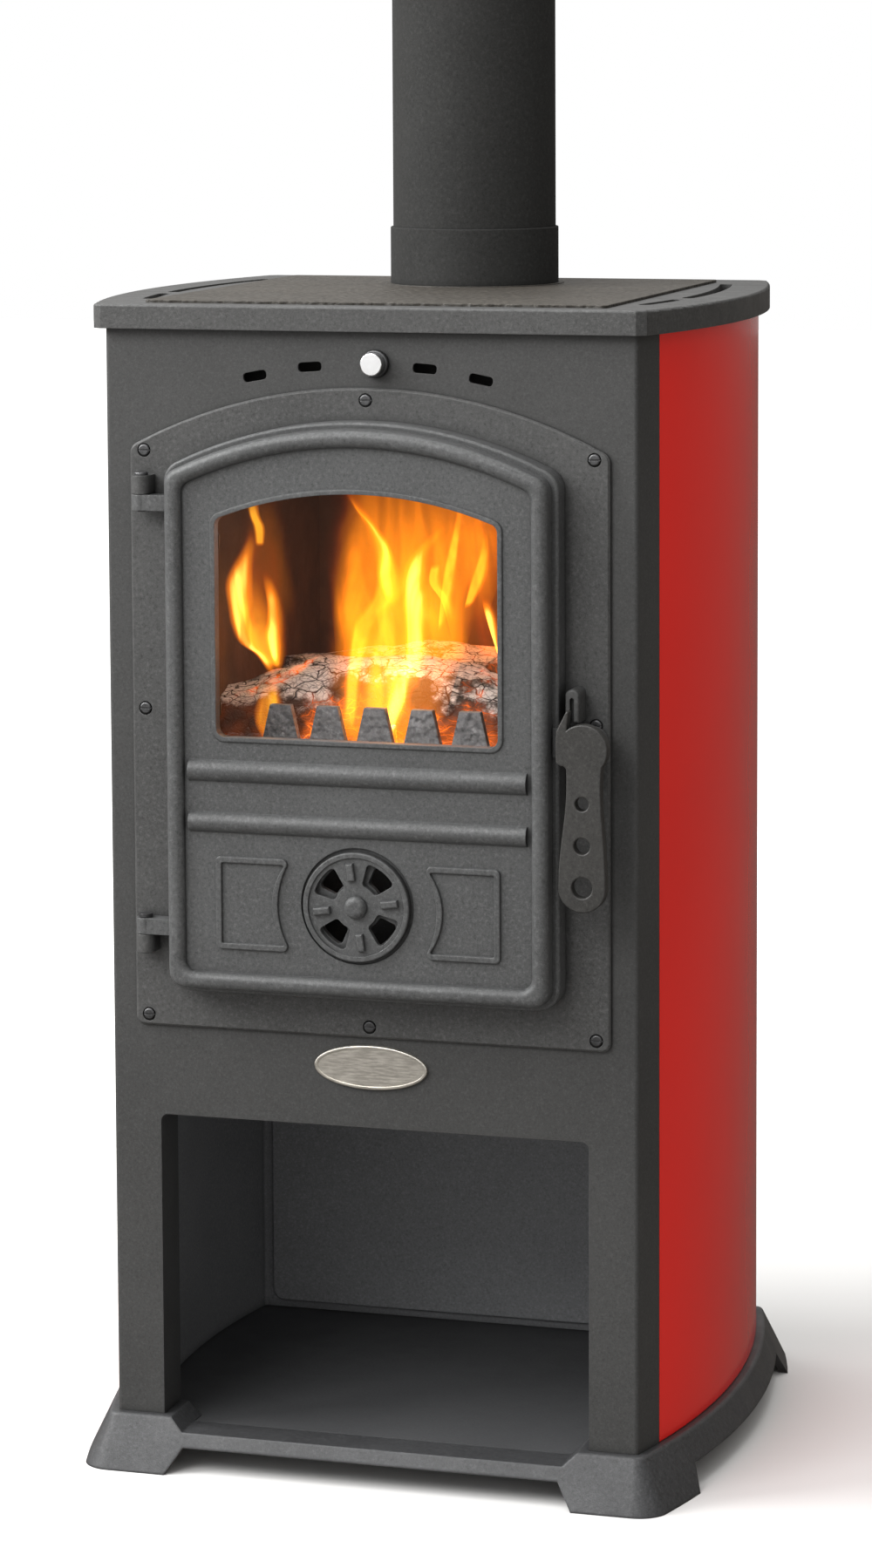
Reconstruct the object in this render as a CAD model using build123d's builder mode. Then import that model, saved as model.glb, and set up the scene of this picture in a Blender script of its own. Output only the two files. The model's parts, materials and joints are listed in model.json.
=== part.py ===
"""A free-standing wood burning stove with a wood store below the firebox.

Units are millimetres. +X is the stove's right side seen from the front, the front faces -Y, +Z is up,
and the origin is on the floor, at the middle of the stove's footprint.
A "depth" is a distance behind the front panel's outer face; a negative depth stands out in front of it.
"""

from build123d import *
from math import sqrt
import os

os.makedirs("parts", exist_ok=True)

# ---------------------------------------------------------------- driving dimensions

# Body plan: flat front and rear, and two bulged sides that are arcs of one circle.
front_half = 190.0
body_depth = 371.0
side_bulge = 26.7

# Levels above the floor.
base_top = 37.0
store_floor_top = 27.5
store_top = 254.0
shell_bottom = 366.0
grate_level = 474.0
baffle_level = 705.0
panel_top = 818.0
rim_bottom = 809.0
plate_top = 826.0
hob_top = 828.0

# Cast plinth.
base_grow_top = 6.0
base_grow_floor = 24.0
base_wall = 6.0
lip_bottom = 18.0
foot_inner_half = 149.0
foot_slope = 12.0
foot_block_depth = 32.0
store_inset = 18.0

# Sheet metal.
panel_sheet = 2.5
skin_sheet = 1.6
liner_sheet = 2.0
post_depth = 30.0
rear_return = 15.0
skin_gap = 0.5
store_half = 155.6
store_corner = 5.0
store_ceiling_low = 262.0
store_far = 310.0
fold_depth = 34.0

# Top plate and hob.
rim_grow = 8.3
rim_corner = 5.0
hob_half = 166.0
hob_near = 12.0
hob_far = 345.0
hob_gap = 0.15
hob_ledge = 12.0
ledge_level = 822.0

# Flue.
flue_depth = 267.0
pipe_radius = 60.0
pipe_wall = 2.0
pipe_length = 250.0
collar_radius = 62.0
collar_height = 42.0
boss_grow = 4.0
boss_height = 0.6
collar_step = 4.0
spigot_radius = 58.0
spigot_drop = 4.0

# Door and its frame plate. The upper edges are arches.
frame_sheet = 4.0
frame_half = 172.0
frame_bottom = 318.5
frame_crown = 770.5
frame_arch = 362.0
door_half = 141.0
door_bottom = 348.5
door_crown = 748.5
door_arch = 305.0
door_corner = 16.0
door_back = -5.0
flange_front = -22.0
panel_front = -30.0
panel_back = -23.0
bead_front = -36.5
bead_outer = 4.6
bead_inner = 16.5
mouth_inset = 21.5
glass_half = 100.8
glass_bottom = 529.7
glass_crown = 700.0
glass_arch = 270.0
glass_lap = 7.2

# Hinge axis and latch lever pivot, as (x, depth) and (x, z).
hinge_x = -160.0
hinge_depth = -14.0
hinge_radius = 6.5
pin_radius = 3.0
running_fit = 0.06
fixed_fit = 0.05
lever_x = 162.0
lever_z = 534.0
stub_radius = 6.0
lever_hub_radius = 10.0
lever_screw_radius = 2.1

# Air wheel.
wheel_z = 416.0
wheel_recess = 40.5
wheel_radius = 38.0
wheel_turn = 8.0

# Smoke damper.
damper_x = 6.5
damper_z = 787.0
rod_radius = 4.0

# ---------------------------------------------------------------- derived places

handle_front = -42.0
overall_depth = body_depth + base_grow_floor - handle_front
front_y = -overall_depth / 2 - handle_front
mid_y = front_y + body_depth / 2
rear_y = front_y + body_depth
side_radius = ((body_depth / 2) ** 2 + side_bulge**2) / (2 * side_bulge)
side_centre = front_half + side_bulge - side_radius
shell_half = 165.0
shell_near = 22.0
shell_far = 337.0
shell_sheet = 3.0
shell_floor = shell_bottom + shell_sheet
mouth_half = 124.0
mouth_top = 738.0
brick_thick = 27.5
hole_slack = 2.0


def face_plane(depth):
    """A plane that faces the viewer, at a depth; its sketches are in (x, z), and extrude goes forward."""
    return Plane.XZ.offset(-(front_y + depth))


def side_reach(depth, grow=0.0):
    """Half the body's width at a depth, for the plan outline grown by `grow`."""
    return side_centre + sqrt((side_radius + grow) ** 2 - (depth - body_depth / 2) ** 2)


def body_plan(grow, corner=0.0):
    """The body's plan outline, grown outwards by `grow`, with rounded corners."""
    near = front_y - grow
    far = rear_y + grow
    corner_x = side_reach(-grow, grow)
    bulge_x = front_half + side_bulge + grow
    with BuildSketch() as plan:
        with BuildLine():
            Line((-corner_x, near), (corner_x, near))
            ThreePointArc((corner_x, near), (bulge_x, mid_y), (corner_x, far))
            Line((corner_x, far), (-corner_x, far))
            ThreePointArc((-corner_x, far), (-bulge_x, mid_y), (-corner_x, near))
        make_face()
        if corner > 0:
            fillet(plan.vertices(), corner)
    return plan.sketch


def arched(half, bottom, crown, arch, lower_corner, upper_corner):
    """An upright panel outline in (x, z) with a flat bottom, straight sides and an arched top."""
    spring = crown - arch + sqrt(arch**2 - half**2)
    with BuildSketch() as outline:
        with BuildLine():
            Line((-half, bottom), (half, bottom))
            Line((half, bottom), (half, spring))
            ThreePointArc((half, spring), (0, crown), (-half, spring))
            Line((-half, spring), (-half, bottom))
        make_face()
        fillet(outline.vertices().filter_by_position(Axis.Y, bottom - 0.1, bottom + 0.1), lower_corner)
        fillet(outline.vertices().filter_by_position(Axis.Y, spring - 0.1, spring + 0.1), upper_corner)
    return outline.sketch


def door_outline(inset, corner):
    """The door's outline moved inwards by `inset`."""
    return arched(
        door_half - inset,
        door_bottom + inset,
        door_crown - inset,
        door_arch - inset,
        corner,
        corner,
    )


def glass_outline(grow, corner):
    """The window's outline moved outwards by `grow`."""
    return arched(
        glass_half + grow,
        glass_bottom - grow,
        glass_crown + grow,
        glass_arch + grow,
        corner,
        corner,
    )


def faces_at(builder, depth):
    """The builder's flat faces that lie at a depth."""
    flat = builder.faces().filter_by(Axis.Y)
    return flat.filter_by_position(Axis.Y, front_y + depth - 0.01, front_y + depth + 0.01)


def save(builder, name):
    """Labels a finished piece and writes it."""
    builder.part.label = name
    export_step(builder.part, f"parts/{name}.step")


# ---------------------------------------------------------------- plinth

bolt_x = 182.0
bolt_inset = 7.6
bolt_radius = 2.5
hex_radius = 4.62
bolt_spots = [(x, y) for x in (-bolt_x, bolt_x) for y in (front_y + bolt_inset, rear_y - bolt_inset)]


def floor_recess(gap):
    """The plan of the wood store's floor, `gap` wider, with its front corners cut out around the feet."""
    block_half = foot_inner_half - 10 + gap
    with BuildSketch() as plan:
        add(body_plan(-store_inset + 0.2 + gap, 3))
        for side in (-1, 1):
            with Locations((side * (block_half + 100), front_y + foot_block_depth + 0.3 - gap - 50)):
                Rectangle(200, 100, mode=Mode.SUBTRACT)
    return plan.sketch


with BuildPart() as base_plinth:
    # Flared outer form.
    with BuildSketch(Plane.XY):
        add(body_plan(base_grow_floor, 22))
    with BuildSketch(Plane.XY.offset(base_top)):
        add(body_plan(base_grow_top, 8))
    loft()
    fillet(base_plinth.faces().sort_by(Axis.Z)[-1].edges(), 2.5)
    # Hollow underside.
    with BuildSketch(Plane.XY):
        add(body_plan(base_grow_floor - base_wall, 18))
    with BuildSketch(Plane.XY.offset(base_top - base_wall)):
        add(body_plan(base_grow_top - base_wall, 4))
    loft(mode=Mode.SUBTRACT)
    # Web and ledge that carry the wood store's floor.
    with BuildSketch(Plane.XY.offset(lip_bottom)):
        add(body_plan(-store_inset + 5, 4))
    extrude(amount=base_top - lip_bottom)
    with BuildSketch(Plane.XY.offset(store_floor_top - liner_sheet)):
        add(floor_recess(0.3))
    extrude(amount=base_top, mode=Mode.SUBTRACT)
    with BuildSketch(Plane.XY):
        add(body_plan(-store_inset - 14, 3))
    extrude(amount=base_top, mode=Mode.SUBTRACT)
    # Solid front lip between the feet, level with the store's floor.
    with BuildSketch(Plane.XY.offset(lip_bottom)):
        with Locations((0, front_y + store_inset / 2 - 5.25)):
            Rectangle(2 * foot_inner_half, store_inset + 9.5)
    extrude(amount=store_floor_top - lip_bottom)
    # Metal behind the slopes, up to the top wall, so that they close the hollow underside.
    with BuildSketch(Plane.XY.offset(store_floor_top)):
        with Locations((0, front_y + store_inset / 2)):
            Rectangle(2 * foot_inner_half, store_inset + 4)
    extrude(amount=base_top - base_wall - store_floor_top + 0.5)
    with BuildSketch(face_plane(foot_block_depth + 1)):
        with BuildLine():
            Polyline(
                (-foot_inner_half + 10, store_floor_top),
                (foot_inner_half - 10, store_floor_top),
                (foot_inner_half + 1, base_top + 1),
                (-foot_inner_half - 1, base_top + 1),
                close=True,
            )
        make_face()
    extrude(amount=80, mode=Mode.SUBTRACT)
    # Openings that leave a foot at each corner.
    with BuildSketch(face_plane(body_depth + 40)):
        with BuildLine():
            Polyline(
                (-foot_inner_half, -1),
                (foot_inner_half, -1),
                (foot_inner_half - foot_slope, lip_bottom),
                (-foot_inner_half + foot_slope, lip_bottom),
                close=True,
            )
        make_face()
    extrude(amount=body_depth + 80, mode=Mode.SUBTRACT)
    with BuildSketch(Plane.YZ.offset(-300)):
        with BuildLine():
            Polyline(
                (front_y + 40, -1),
                (rear_y - 40, -1),
                (rear_y - 40 - foot_slope, lip_bottom),
                (front_y + 40 + foot_slope, lip_bottom),
                close=True,
            )
        make_face()
    extrude(amount=600, mode=Mode.SUBTRACT)
    # Holes for the four body bolts.
    with BuildSketch(Plane.XY):
        with Locations(*bolt_spots):
            Circle(bolt_radius + fixed_fit)
    extrude(amount=2 * base_top, mode=Mode.SUBTRACT)
save(base_plinth, "base_plinth")

with BuildPart() as base_bolts:
    with BuildSketch(Plane.XY.offset(base_top - base_wall - 3.5)):
        with Locations(*bolt_spots):
            RegularPolygon(hex_radius, 6)
    extrude(amount=3.5)
    with BuildSketch(Plane.XY.offset(base_top - base_wall)):
        with Locations(*bolt_spots):
            Circle(bolt_radius)
    extrude(amount=base_wall + 9)
    with BuildSketch(Plane.XY.offset(base_top + panel_sheet)):
        with Locations(*bolt_spots):
            RegularPolygon(hex_radius, 6)
    extrude(amount=4)
save(base_bolts, "base_bolts")

# ---------------------------------------------------------------- wood store

with BuildPart() as store_floor:
    with BuildSketch(Plane.XY.offset(store_floor_top - liner_sheet)):
        add(floor_recess(0))
    extrude(amount=liner_sheet)
save(store_floor, "store_floor")


def liner_plan(shrink):
    """The wood store's plan behind the front folds, moved inwards by `shrink` at its sides and back."""
    with BuildSketch() as plan:
        add(body_plan(-store_inset - 0.5 - shrink))
        for edge, way in ((fold_depth, -1), (store_far - shrink, 1)):
            with Locations((0, front_y + edge + way * 250)):
                Rectangle(500, 500, mode=Mode.SUBTRACT)
        fillet(plan.vertices().group_by(Axis.Y)[-1], 5 - shrink)
    return plan.sketch


liner_back = store_far - liner_sheet
pressed_depth = 4.0
pressed_half = 177.0
pressed_low = store_floor_top + 6
pressed_high = 252.0
pressed_corner = 9.0
with BuildPart() as store_liner:
    # Bent sheet: two bulged sides and a back, open at the front.
    with BuildSketch(Plane.XY.offset(store_floor_top)):
        add(liner_plan(0))
        add(liner_plan(liner_sheet), mode=Mode.SUBTRACT)
    extrude(amount=store_ceiling_low - store_floor_top)
    # Field in the back wall, pressed forwards.
    with BuildSketch(face_plane(liner_back)):
        with Locations((0, (pressed_low + pressed_high) / 2)):
            RectangleRounded(2 * pressed_half, pressed_high - pressed_low, pressed_corner)
    extrude(amount=pressed_depth)
    fillet(faces_at(store_liner, liner_back - pressed_depth).edges(), 1.5)
    with BuildSketch(face_plane(liner_back + liner_sheet)):
        with Locations((0, (pressed_low + pressed_high) / 2)):
            RectangleRounded(
                2 * (pressed_half - liner_sheet),
                pressed_high - pressed_low - 2 * liner_sheet,
                pressed_corner - liner_sheet,
            )
    extrude(amount=pressed_depth, mode=Mode.SUBTRACT)
save(store_liner, "store_liner")

with BuildPart() as store_ceiling:
    with BuildSketch(Plane.XY.offset(store_ceiling_low)):
        add(liner_plan(0))
    extrude(amount=liner_sheet)
save(store_ceiling, "store_ceiling")

# ---------------------------------------------------------------- outer panels

slot_places = ((-81.0, 777.0, 11.0), (-41.2, 784.0, 4.0), (41.2, 784.0, -4.0), (81.0, 777.0, -11.0))
frame_screw_places = (
    (-161.4, 724.5),
    (161.4, 724.5),
    (0, 762),
    (-162.3, 543.5),
    (162.3, 543.5),
    (-162.2, 326.2),
    (162.2, 326.2),
    (0, 326.2),
)
frame_screw_radius = 1.7
frame_screw_head = 4.2
frame_screw_seat = -2.0

with BuildPart() as front_panel:
    # Folded sheet: front face and two returns that follow the bulged sides.
    with BuildSketch(Plane.XY.offset(base_top)):
        add(body_plan(0, 3))
        add(body_plan(-panel_sheet, 1), mode=Mode.SUBTRACT)
        with Locations((0, front_y + post_depth + 250)):
            Rectangle(500, 500, mode=Mode.SUBTRACT)
    extrude(amount=panel_top - base_top)
    # Wood store opening, with its folded edges.
    with BuildSketch(face_plane(fold_depth)):
        with Locations((0, (store_top + panel_sheet) / 2)):
            RectangleRounded(
                2 * (store_half + panel_sheet), store_top + panel_sheet, store_corner + panel_sheet
            )
        with Locations((0, base_top / 2)):
            Rectangle(400, base_top, mode=Mode.SUBTRACT)
    extrude(amount=fold_depth)
    with BuildSketch(face_plane(fold_depth + 6)):
        with Locations((0, store_top / 2)):
            RectangleRounded(2 * store_half, store_top, store_corner)
        with Locations((0, base_top / 4)):
            Rectangle(2 * store_half, base_top / 2)
    extrude(amount=60, mode=Mode.SUBTRACT)
    # Foot flanges for the base bolts.
    with BuildSketch(Plane.XY.offset(base_top)):
        with Locations((-173, front_y + 14), (173, front_y + 14)):
            Rectangle(32, 26)
        with Locations(*bolt_spots):
            Circle(bolt_radius + fixed_fit, mode=Mode.SUBTRACT)
    extrude(amount=panel_sheet)
    # Doorway, behind the door frame plate.
    with BuildSketch(face_plane(10)):
        with Locations((0, (shell_floor + mouth_top) / 2)):
            Rectangle(2 * mouth_half, mouth_top - shell_floor)
    extrude(amount=20, mode=Mode.SUBTRACT)
    # Convection slots along an arch, knob hole and screw holes.
    with BuildSketch(face_plane(10)):
        for slot_x, slot_z, slot_tilt in slot_places:
            with Locations(Location((slot_x, slot_z, 0), (0, 0, slot_tilt))):
                RectangleRounded(17, 6.6, 2.6)
        with Locations((damper_x, damper_z)):
            Circle(7)
        with Locations(*frame_screw_places):
            Circle(frame_screw_radius)
    extrude(amount=20, mode=Mode.SUBTRACT)
save(front_panel, "front_panel")

skin_near = post_depth + skin_gap
skin_far = body_depth - rear_return - skin_gap
for side, side_name in ((-1, "left"), (1, "right")):
    with BuildPart() as side_panel:
        # Enamelled sheet, with an edge folded inwards at the front and at the rear.
        with BuildSketch(Plane.XY.offset(base_top + skin_gap)):
            add(body_plan(0))
            add(body_plan(-skin_sheet), mode=Mode.SUBTRACT)
            for edge in (skin_near + skin_sheet / 2, skin_far - skin_sheet / 2):
                with Locations((side * (side_reach(edge) - 7), front_y + edge)):
                    Rectangle(13, skin_sheet)
            with Locations((0, front_y + skin_near - 250), (0, front_y + skin_far + 250)):
                Rectangle(600, 500, mode=Mode.SUBTRACT)
            with Locations((-side * 300, 0)):
                Rectangle(600, 600, mode=Mode.SUBTRACT)
        extrude(amount=panel_top - base_top - skin_gap)
    save(side_panel, f"side_panel_{side_name}")

cover_half = 140.0
cover_low = 320.0
cover_high = 780.0
cover_screw_radius = 1.6
cover_screw_places = [(x, z) for x in (-134, 134) for z in (328, 550, 772)]
with BuildPart() as rear_casing:
    with BuildSketch(Plane.XY.offset(base_top)):
        add(body_plan(0, 3))
        add(body_plan(-panel_sheet, 1), mode=Mode.SUBTRACT)
        with Locations((0, rear_y - rear_return - 250)):
            Rectangle(500, 500, mode=Mode.SUBTRACT)
    extrude(amount=panel_top - base_top)
    with BuildSketch(Plane.XY.offset(base_top)):
        with Locations((-173, rear_y - 8.5), (173, rear_y - 8.5)):
            Rectangle(26, 13)
        with Locations(*bolt_spots):
            Circle(bolt_radius + fixed_fit, mode=Mode.SUBTRACT)
    extrude(amount=panel_sheet)
    # Window behind the firebox, closed by the rear cover.
    with BuildSketch(face_plane(body_depth + 10)):
        with Locations((0, (cover_low + cover_high) / 2)):
            RectangleRounded(2 * cover_half - 24, cover_high - cover_low - 24, 6)
        with Locations(*cover_screw_places):
            Circle(cover_screw_radius)
        # Air slots low down, below the cover.
        for row in range(4):
            with Locations((-60, 90 + 16 * row), (60, 90 + 16 * row)):
                SlotOverall(90, 6)
    extrude(amount=20, mode=Mode.SUBTRACT)
save(rear_casing, "rear_casing")

with BuildPart() as rear_cover:
    with BuildSketch(face_plane(body_depth + skin_sheet)):
        with Locations((0, (cover_low + cover_high) / 2)):
            RectangleRounded(2 * cover_half, cover_high - cover_low, 8)
        with Locations(*cover_screw_places):
            Circle(cover_screw_radius, mode=Mode.SUBTRACT)
        for row in range(5):
            for level in (385 + 14 * row, 659 + 14 * row):
                with Locations((-55, level), (55, level)):
                    SlotOverall(84, 5.5, mode=Mode.SUBTRACT)
    extrude(amount=skin_sheet)
save(rear_cover, "rear_cover")


def pan_screws(places, seat, head_radius, head_height, shank_radius, shank_length, rearward):
    """Slotted pan-head screws driven along Y, with the heads' undersides at depth `seat`."""
    way = -1 if rearward else 1
    with BuildPart() as screws:
        with BuildSketch(face_plane(seat)):
            with Locations(*places):
                Circle(head_radius)
        extrude(amount=way * head_height)
        crowns = screws.faces().filter_by(Axis.Y).group_by(Axis.Y)[-1 if rearward else 0]
        fillet(crowns.edges(), head_height * 0.45)
        with BuildSketch(face_plane(seat - way * head_height)):
            with Locations(*places):
                Rectangle(2.2 * head_radius, 0.9)
        extrude(amount=-way * head_height * 0.4, mode=Mode.SUBTRACT)
        with BuildSketch(face_plane(seat)):
            with Locations(*places):
                Circle(shank_radius)
        extrude(amount=-way * shank_length)
    return screws


rear_cover_screws = pan_screws(
    cover_screw_places, body_depth + skin_sheet, 3.6, 2.4, cover_screw_radius, 8, True
)
save(rear_cover_screws, "rear_cover_screws")

# ---------------------------------------------------------------- top plate, hob and flue

side_slot_inset = 24.0
with BuildPart() as top_plate:
    with BuildSketch(Plane.XY.offset(rim_bottom)):
        add(body_plan(rim_grow))
    extrude(amount=plate_top - rim_bottom)
    chamfer(top_plate.edges().filter_by(Axis.Z), rim_corner)
    fillet(top_plate.faces().sort_by(Axis.Z)[-1].edges(), 1.8)
    # Underside: the panels' upper edges stand inside the rim.
    with BuildSketch(Plane.XY.offset(rim_bottom)):
        add(body_plan(0.4, 3))
    extrude(amount=panel_top - rim_bottom, mode=Mode.SUBTRACT)
    # Seat for the hob plate.
    with BuildSketch(Plane.XY.offset(ledge_level)):
        with Locations((0, front_y + (hob_near + hob_far) / 2)):
            RectangleRounded(2 * hob_half, hob_far - hob_near, 4)
    extrude(amount=20, mode=Mode.SUBTRACT)
    with BuildSketch(Plane.XY.offset(rim_bottom)):
        with Locations((0, front_y + (hob_near + hob_far) / 2)):
            RectangleRounded(2 * (hob_half - hob_ledge), hob_far - hob_near - 2 * hob_ledge, 4)
    extrude(amount=40, mode=Mode.SUBTRACT)
    # Two warm-air slots along each bulged side.
    with BuildSketch(Plane.XY.offset(rim_bottom)):
        for side in (-1, 1):
            for slot_near, slot_far in ((61, 119), (143, 315)):
                slot_mid = (slot_near + slot_far) / 2
                ends = [
                    (side * side_reach(depth, -side_slot_inset), front_y + depth)
                    for depth in (slot_near, slot_mid, slot_far)
                ]
                with BuildLine(mode=Mode.PRIVATE) as slot_line:
                    ThreePointArc(*ends)
                add(SlotArc(slot_line.edge(), 9, mode=Mode.PRIVATE))
    extrude(amount=40, mode=Mode.SUBTRACT)
save(top_plate, "top_plate")

with BuildPart() as hob_plate:
    with BuildSketch(Plane.XY.offset(ledge_level)):
        with Locations((0, front_y + (hob_near + hob_far) / 2)):
            RectangleRounded(2 * (hob_half - hob_gap), hob_far - hob_near - 2 * hob_gap, 3.5)
    extrude(amount=hob_top - ledge_level)
    fillet(hob_plate.faces().sort_by(Axis.Z)[-1].edges(), 0.5)
    # Low machined boss under the flue collar, and the hole for its spigot.
    with BuildSketch(Plane.XY.offset(hob_top)):
        with Locations((0, front_y + flue_depth)):
            Circle(collar_radius + boss_grow)
    extrude(amount=boss_height)
    with Locations((0, front_y + flue_depth, hob_top)):
        Cylinder(spigot_radius + fixed_fit, 60, mode=Mode.SUBTRACT)
save(hob_plate, "hob_plate")

with BuildPart() as flue_collar:
    with BuildSketch(Plane.XY.offset(hob_top + boss_height)):
        with Locations((0, front_y + flue_depth)):
            Circle(collar_radius)
    extrude(amount=collar_height - boss_height)
    fillet(flue_collar.faces().sort_by(Axis.Z)[-1].edges(), 0.8)
    # Spigot down through the hob plate.
    with BuildSketch(Plane.XY.offset(ledge_level - spigot_drop)):
        with Locations((0, front_y + flue_depth)):
            Circle(spigot_radius)
    extrude(amount=hob_top + boss_height - ledge_level + spigot_drop)
    with BuildSketch(Plane.XY.offset(hob_top + collar_step)):
        with Locations((0, front_y + flue_depth)):
            Circle(pipe_radius)
    extrude(amount=collar_height, mode=Mode.SUBTRACT)
    with BuildSketch(Plane.XY.offset(rim_bottom)):
        with Locations((0, front_y + flue_depth)):
            Circle(spigot_radius - 3)
    extrude(amount=40, mode=Mode.SUBTRACT)
save(flue_collar, "flue_collar")

with BuildPart() as flue_pipe:
    with BuildSketch(Plane.XY.offset(hob_top + collar_step)):
        with Locations((0, front_y + flue_depth)):
            Circle(pipe_radius)
            Circle(pipe_radius - pipe_wall, mode=Mode.SUBTRACT)
    extrude(amount=pipe_length)
save(flue_pipe, "flue_pipe")

# ---------------------------------------------------------------- firebox

shell_mid_y = front_y + (shell_near + shell_far) / 2
shell_depth = shell_far - shell_near
rail_height = 6.0
bed_level = grate_level - 12
with BuildPart() as firebox_shell:
    with BuildSketch(Plane.XY.offset(shell_bottom)):
        with Locations((0, shell_mid_y)):
            Rectangle(2 * shell_half, shell_depth)
    extrude(amount=panel_top - shell_bottom)
    with BuildSketch(Plane.XY.offset(shell_floor)):
        with Locations((0, shell_mid_y)):
            Rectangle(2 * (shell_half - shell_sheet), shell_depth - 2 * shell_sheet)
    extrude(amount=panel_top - shell_floor, mode=Mode.SUBTRACT)
    # Throat between the front panel and the firebox's front wall.
    with BuildSketch(face_plane(shell_near)):
        with Locations((0, (shell_bottom + mouth_top + shell_sheet) / 2)):
            Rectangle(2 * (mouth_half + shell_sheet), mouth_top + shell_sheet - shell_bottom)
    extrude(amount=shell_near - panel_sheet)
    with BuildSketch(face_plane(shell_near + shell_sheet + 1)):
        with Locations((0, (shell_floor + mouth_top) / 2)):
            Rectangle(2 * mouth_half, mouth_top - shell_floor)
        with Locations((damper_x, damper_z)):
            Circle(rod_radius + hole_slack)
    extrude(amount=shell_near + 10, mode=Mode.SUBTRACT)
    # Rails that carry the grate bed.
    with BuildSketch(Plane.XY.offset(bed_level - rail_height)):
        with Locations((-shell_half + 9, shell_mid_y), (shell_half - 9, shell_mid_y)):
            Rectangle(14, shell_depth - 2 * shell_sheet)
    extrude(amount=rail_height)
save(firebox_shell, "firebox_shell")

inner_half = shell_half - shell_sheet - 0.5
inner_near = shell_near + shell_sheet + 0.5
inner_far = shell_far - shell_sheet - 0.5
grate_half = 85.0
grate_near = 80.0
grate_far = 280.0
with BuildPart() as grate_bed:
    with BuildSketch(Plane.XY.offset(bed_level)):
        with Locations((0, front_y + (inner_near + inner_far) / 2)):
            Rectangle(2 * inner_half, inner_far - inner_near)
    extrude(amount=grate_level - bed_level)
    with BuildSketch(Plane.XY.offset(grate_level - 6)):
        with Locations((0, front_y + (grate_near + grate_far) / 2)):
            RectangleRounded(2 * grate_half, grate_far - grate_near, 6)
    extrude(amount=10, mode=Mode.SUBTRACT)
    with BuildSketch(Plane.XY.offset(bed_level - 1)):
        with Locations((0, front_y + (grate_near + grate_far) / 2)):
            RectangleRounded(2 * grate_half - 20, grate_far - grate_near - 20, 6)
    extrude(amount=20, mode=Mode.SUBTRACT)
save(grate_bed, "grate_bed")

with BuildPart() as grate:
    with BuildSketch(Plane.XY.offset(grate_level - 6)):
        with Locations((0, front_y + (grate_near + grate_far) / 2)):
            RectangleRounded(2 * grate_half - 1, grate_far - grate_near - 1, 5.5)
            with GridLocations(17, 0, 9, 1):
                SlotOverall(170, 8, rotation=90, mode=Mode.SUBTRACT)
    extrude(amount=8)
save(grate, "grate")

rear_brick_near = inner_far - brick_thick
for side, side_name in ((-1, "left"), (1, "right")):
    with BuildPart() as brick:
        with BuildSketch(Plane.XY.offset(grate_level)):
            with Locations(
                (side * (inner_half - brick_thick / 2), front_y + (inner_near + rear_brick_near - 0.5) / 2)
            ):
                Rectangle(brick_thick, rear_brick_near - 0.5 - inner_near)
        extrude(amount=baffle_level - grate_level)
        chamfer(brick.edges().filter_by(Axis.Z), 1.5)
    save(brick, f"brick_{side_name}")

with BuildPart() as brick_rear:
    with BuildSketch(Plane.XY.offset(grate_level)):
        with Locations((0, front_y + rear_brick_near + brick_thick / 2)):
            Rectangle(2 * inner_half, brick_thick)
    extrude(amount=baffle_level - grate_level)
    chamfer(brick_rear.edges().filter_by(Axis.Z), 1.5)
save(brick_rear, "brick_rear")

baffle_near = 90.0
baffle_thick = 12.0
bypass_near = 205.0
bypass_far = 265.0
with BuildPart() as baffle:
    with BuildSketch(Plane.XY.offset(baffle_level)):
        with Locations((0, front_y + (baffle_near + inner_far) / 2)):
            Rectangle(2 * inner_half, inner_far - baffle_near)
        with Locations((0, front_y + (bypass_near + bypass_far) / 2)):
            RectangleRounded(80, bypass_far - bypass_near, 6, mode=Mode.SUBTRACT)
    extrude(amount=baffle_thick)
save(baffle, "baffle")

pan_half = 112.0
pan_near = 34.0
pan_far = 290.0
pan_height = 60.0
pan_sheet = 1.5
pan_mid_y = front_y + (pan_near + pan_far) / 2
with BuildPart() as ash_pan:
    with BuildSketch(Plane.XY.offset(shell_floor)):
        with Locations((0, pan_mid_y)):
            RectangleRounded(2 * pan_half, pan_far - pan_near, 5)
    extrude(amount=pan_height)
    with BuildSketch(Plane.XY.offset(shell_floor + pan_sheet)):
        with Locations((0, pan_mid_y)):
            RectangleRounded(2 * (pan_half - pan_sheet), pan_far - pan_near - 2 * pan_sheet, 3.5)
    extrude(amount=pan_height, mode=Mode.SUBTRACT)
    # Loop grip on the pan's front.
    with BuildSketch(Plane.XY.offset(shell_floor + 38)):
        with Locations((0, front_y + pan_near - 9)):
            RectangleRounded(100, 20, 6)
            RectangleRounded(90, 10, 3, mode=Mode.SUBTRACT)
        with Locations((0, front_y + pan_near + 15)):
            Rectangle(120, 30, mode=Mode.SUBTRACT)
    extrude(amount=5)
save(ash_pan, "ash_pan")

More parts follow.
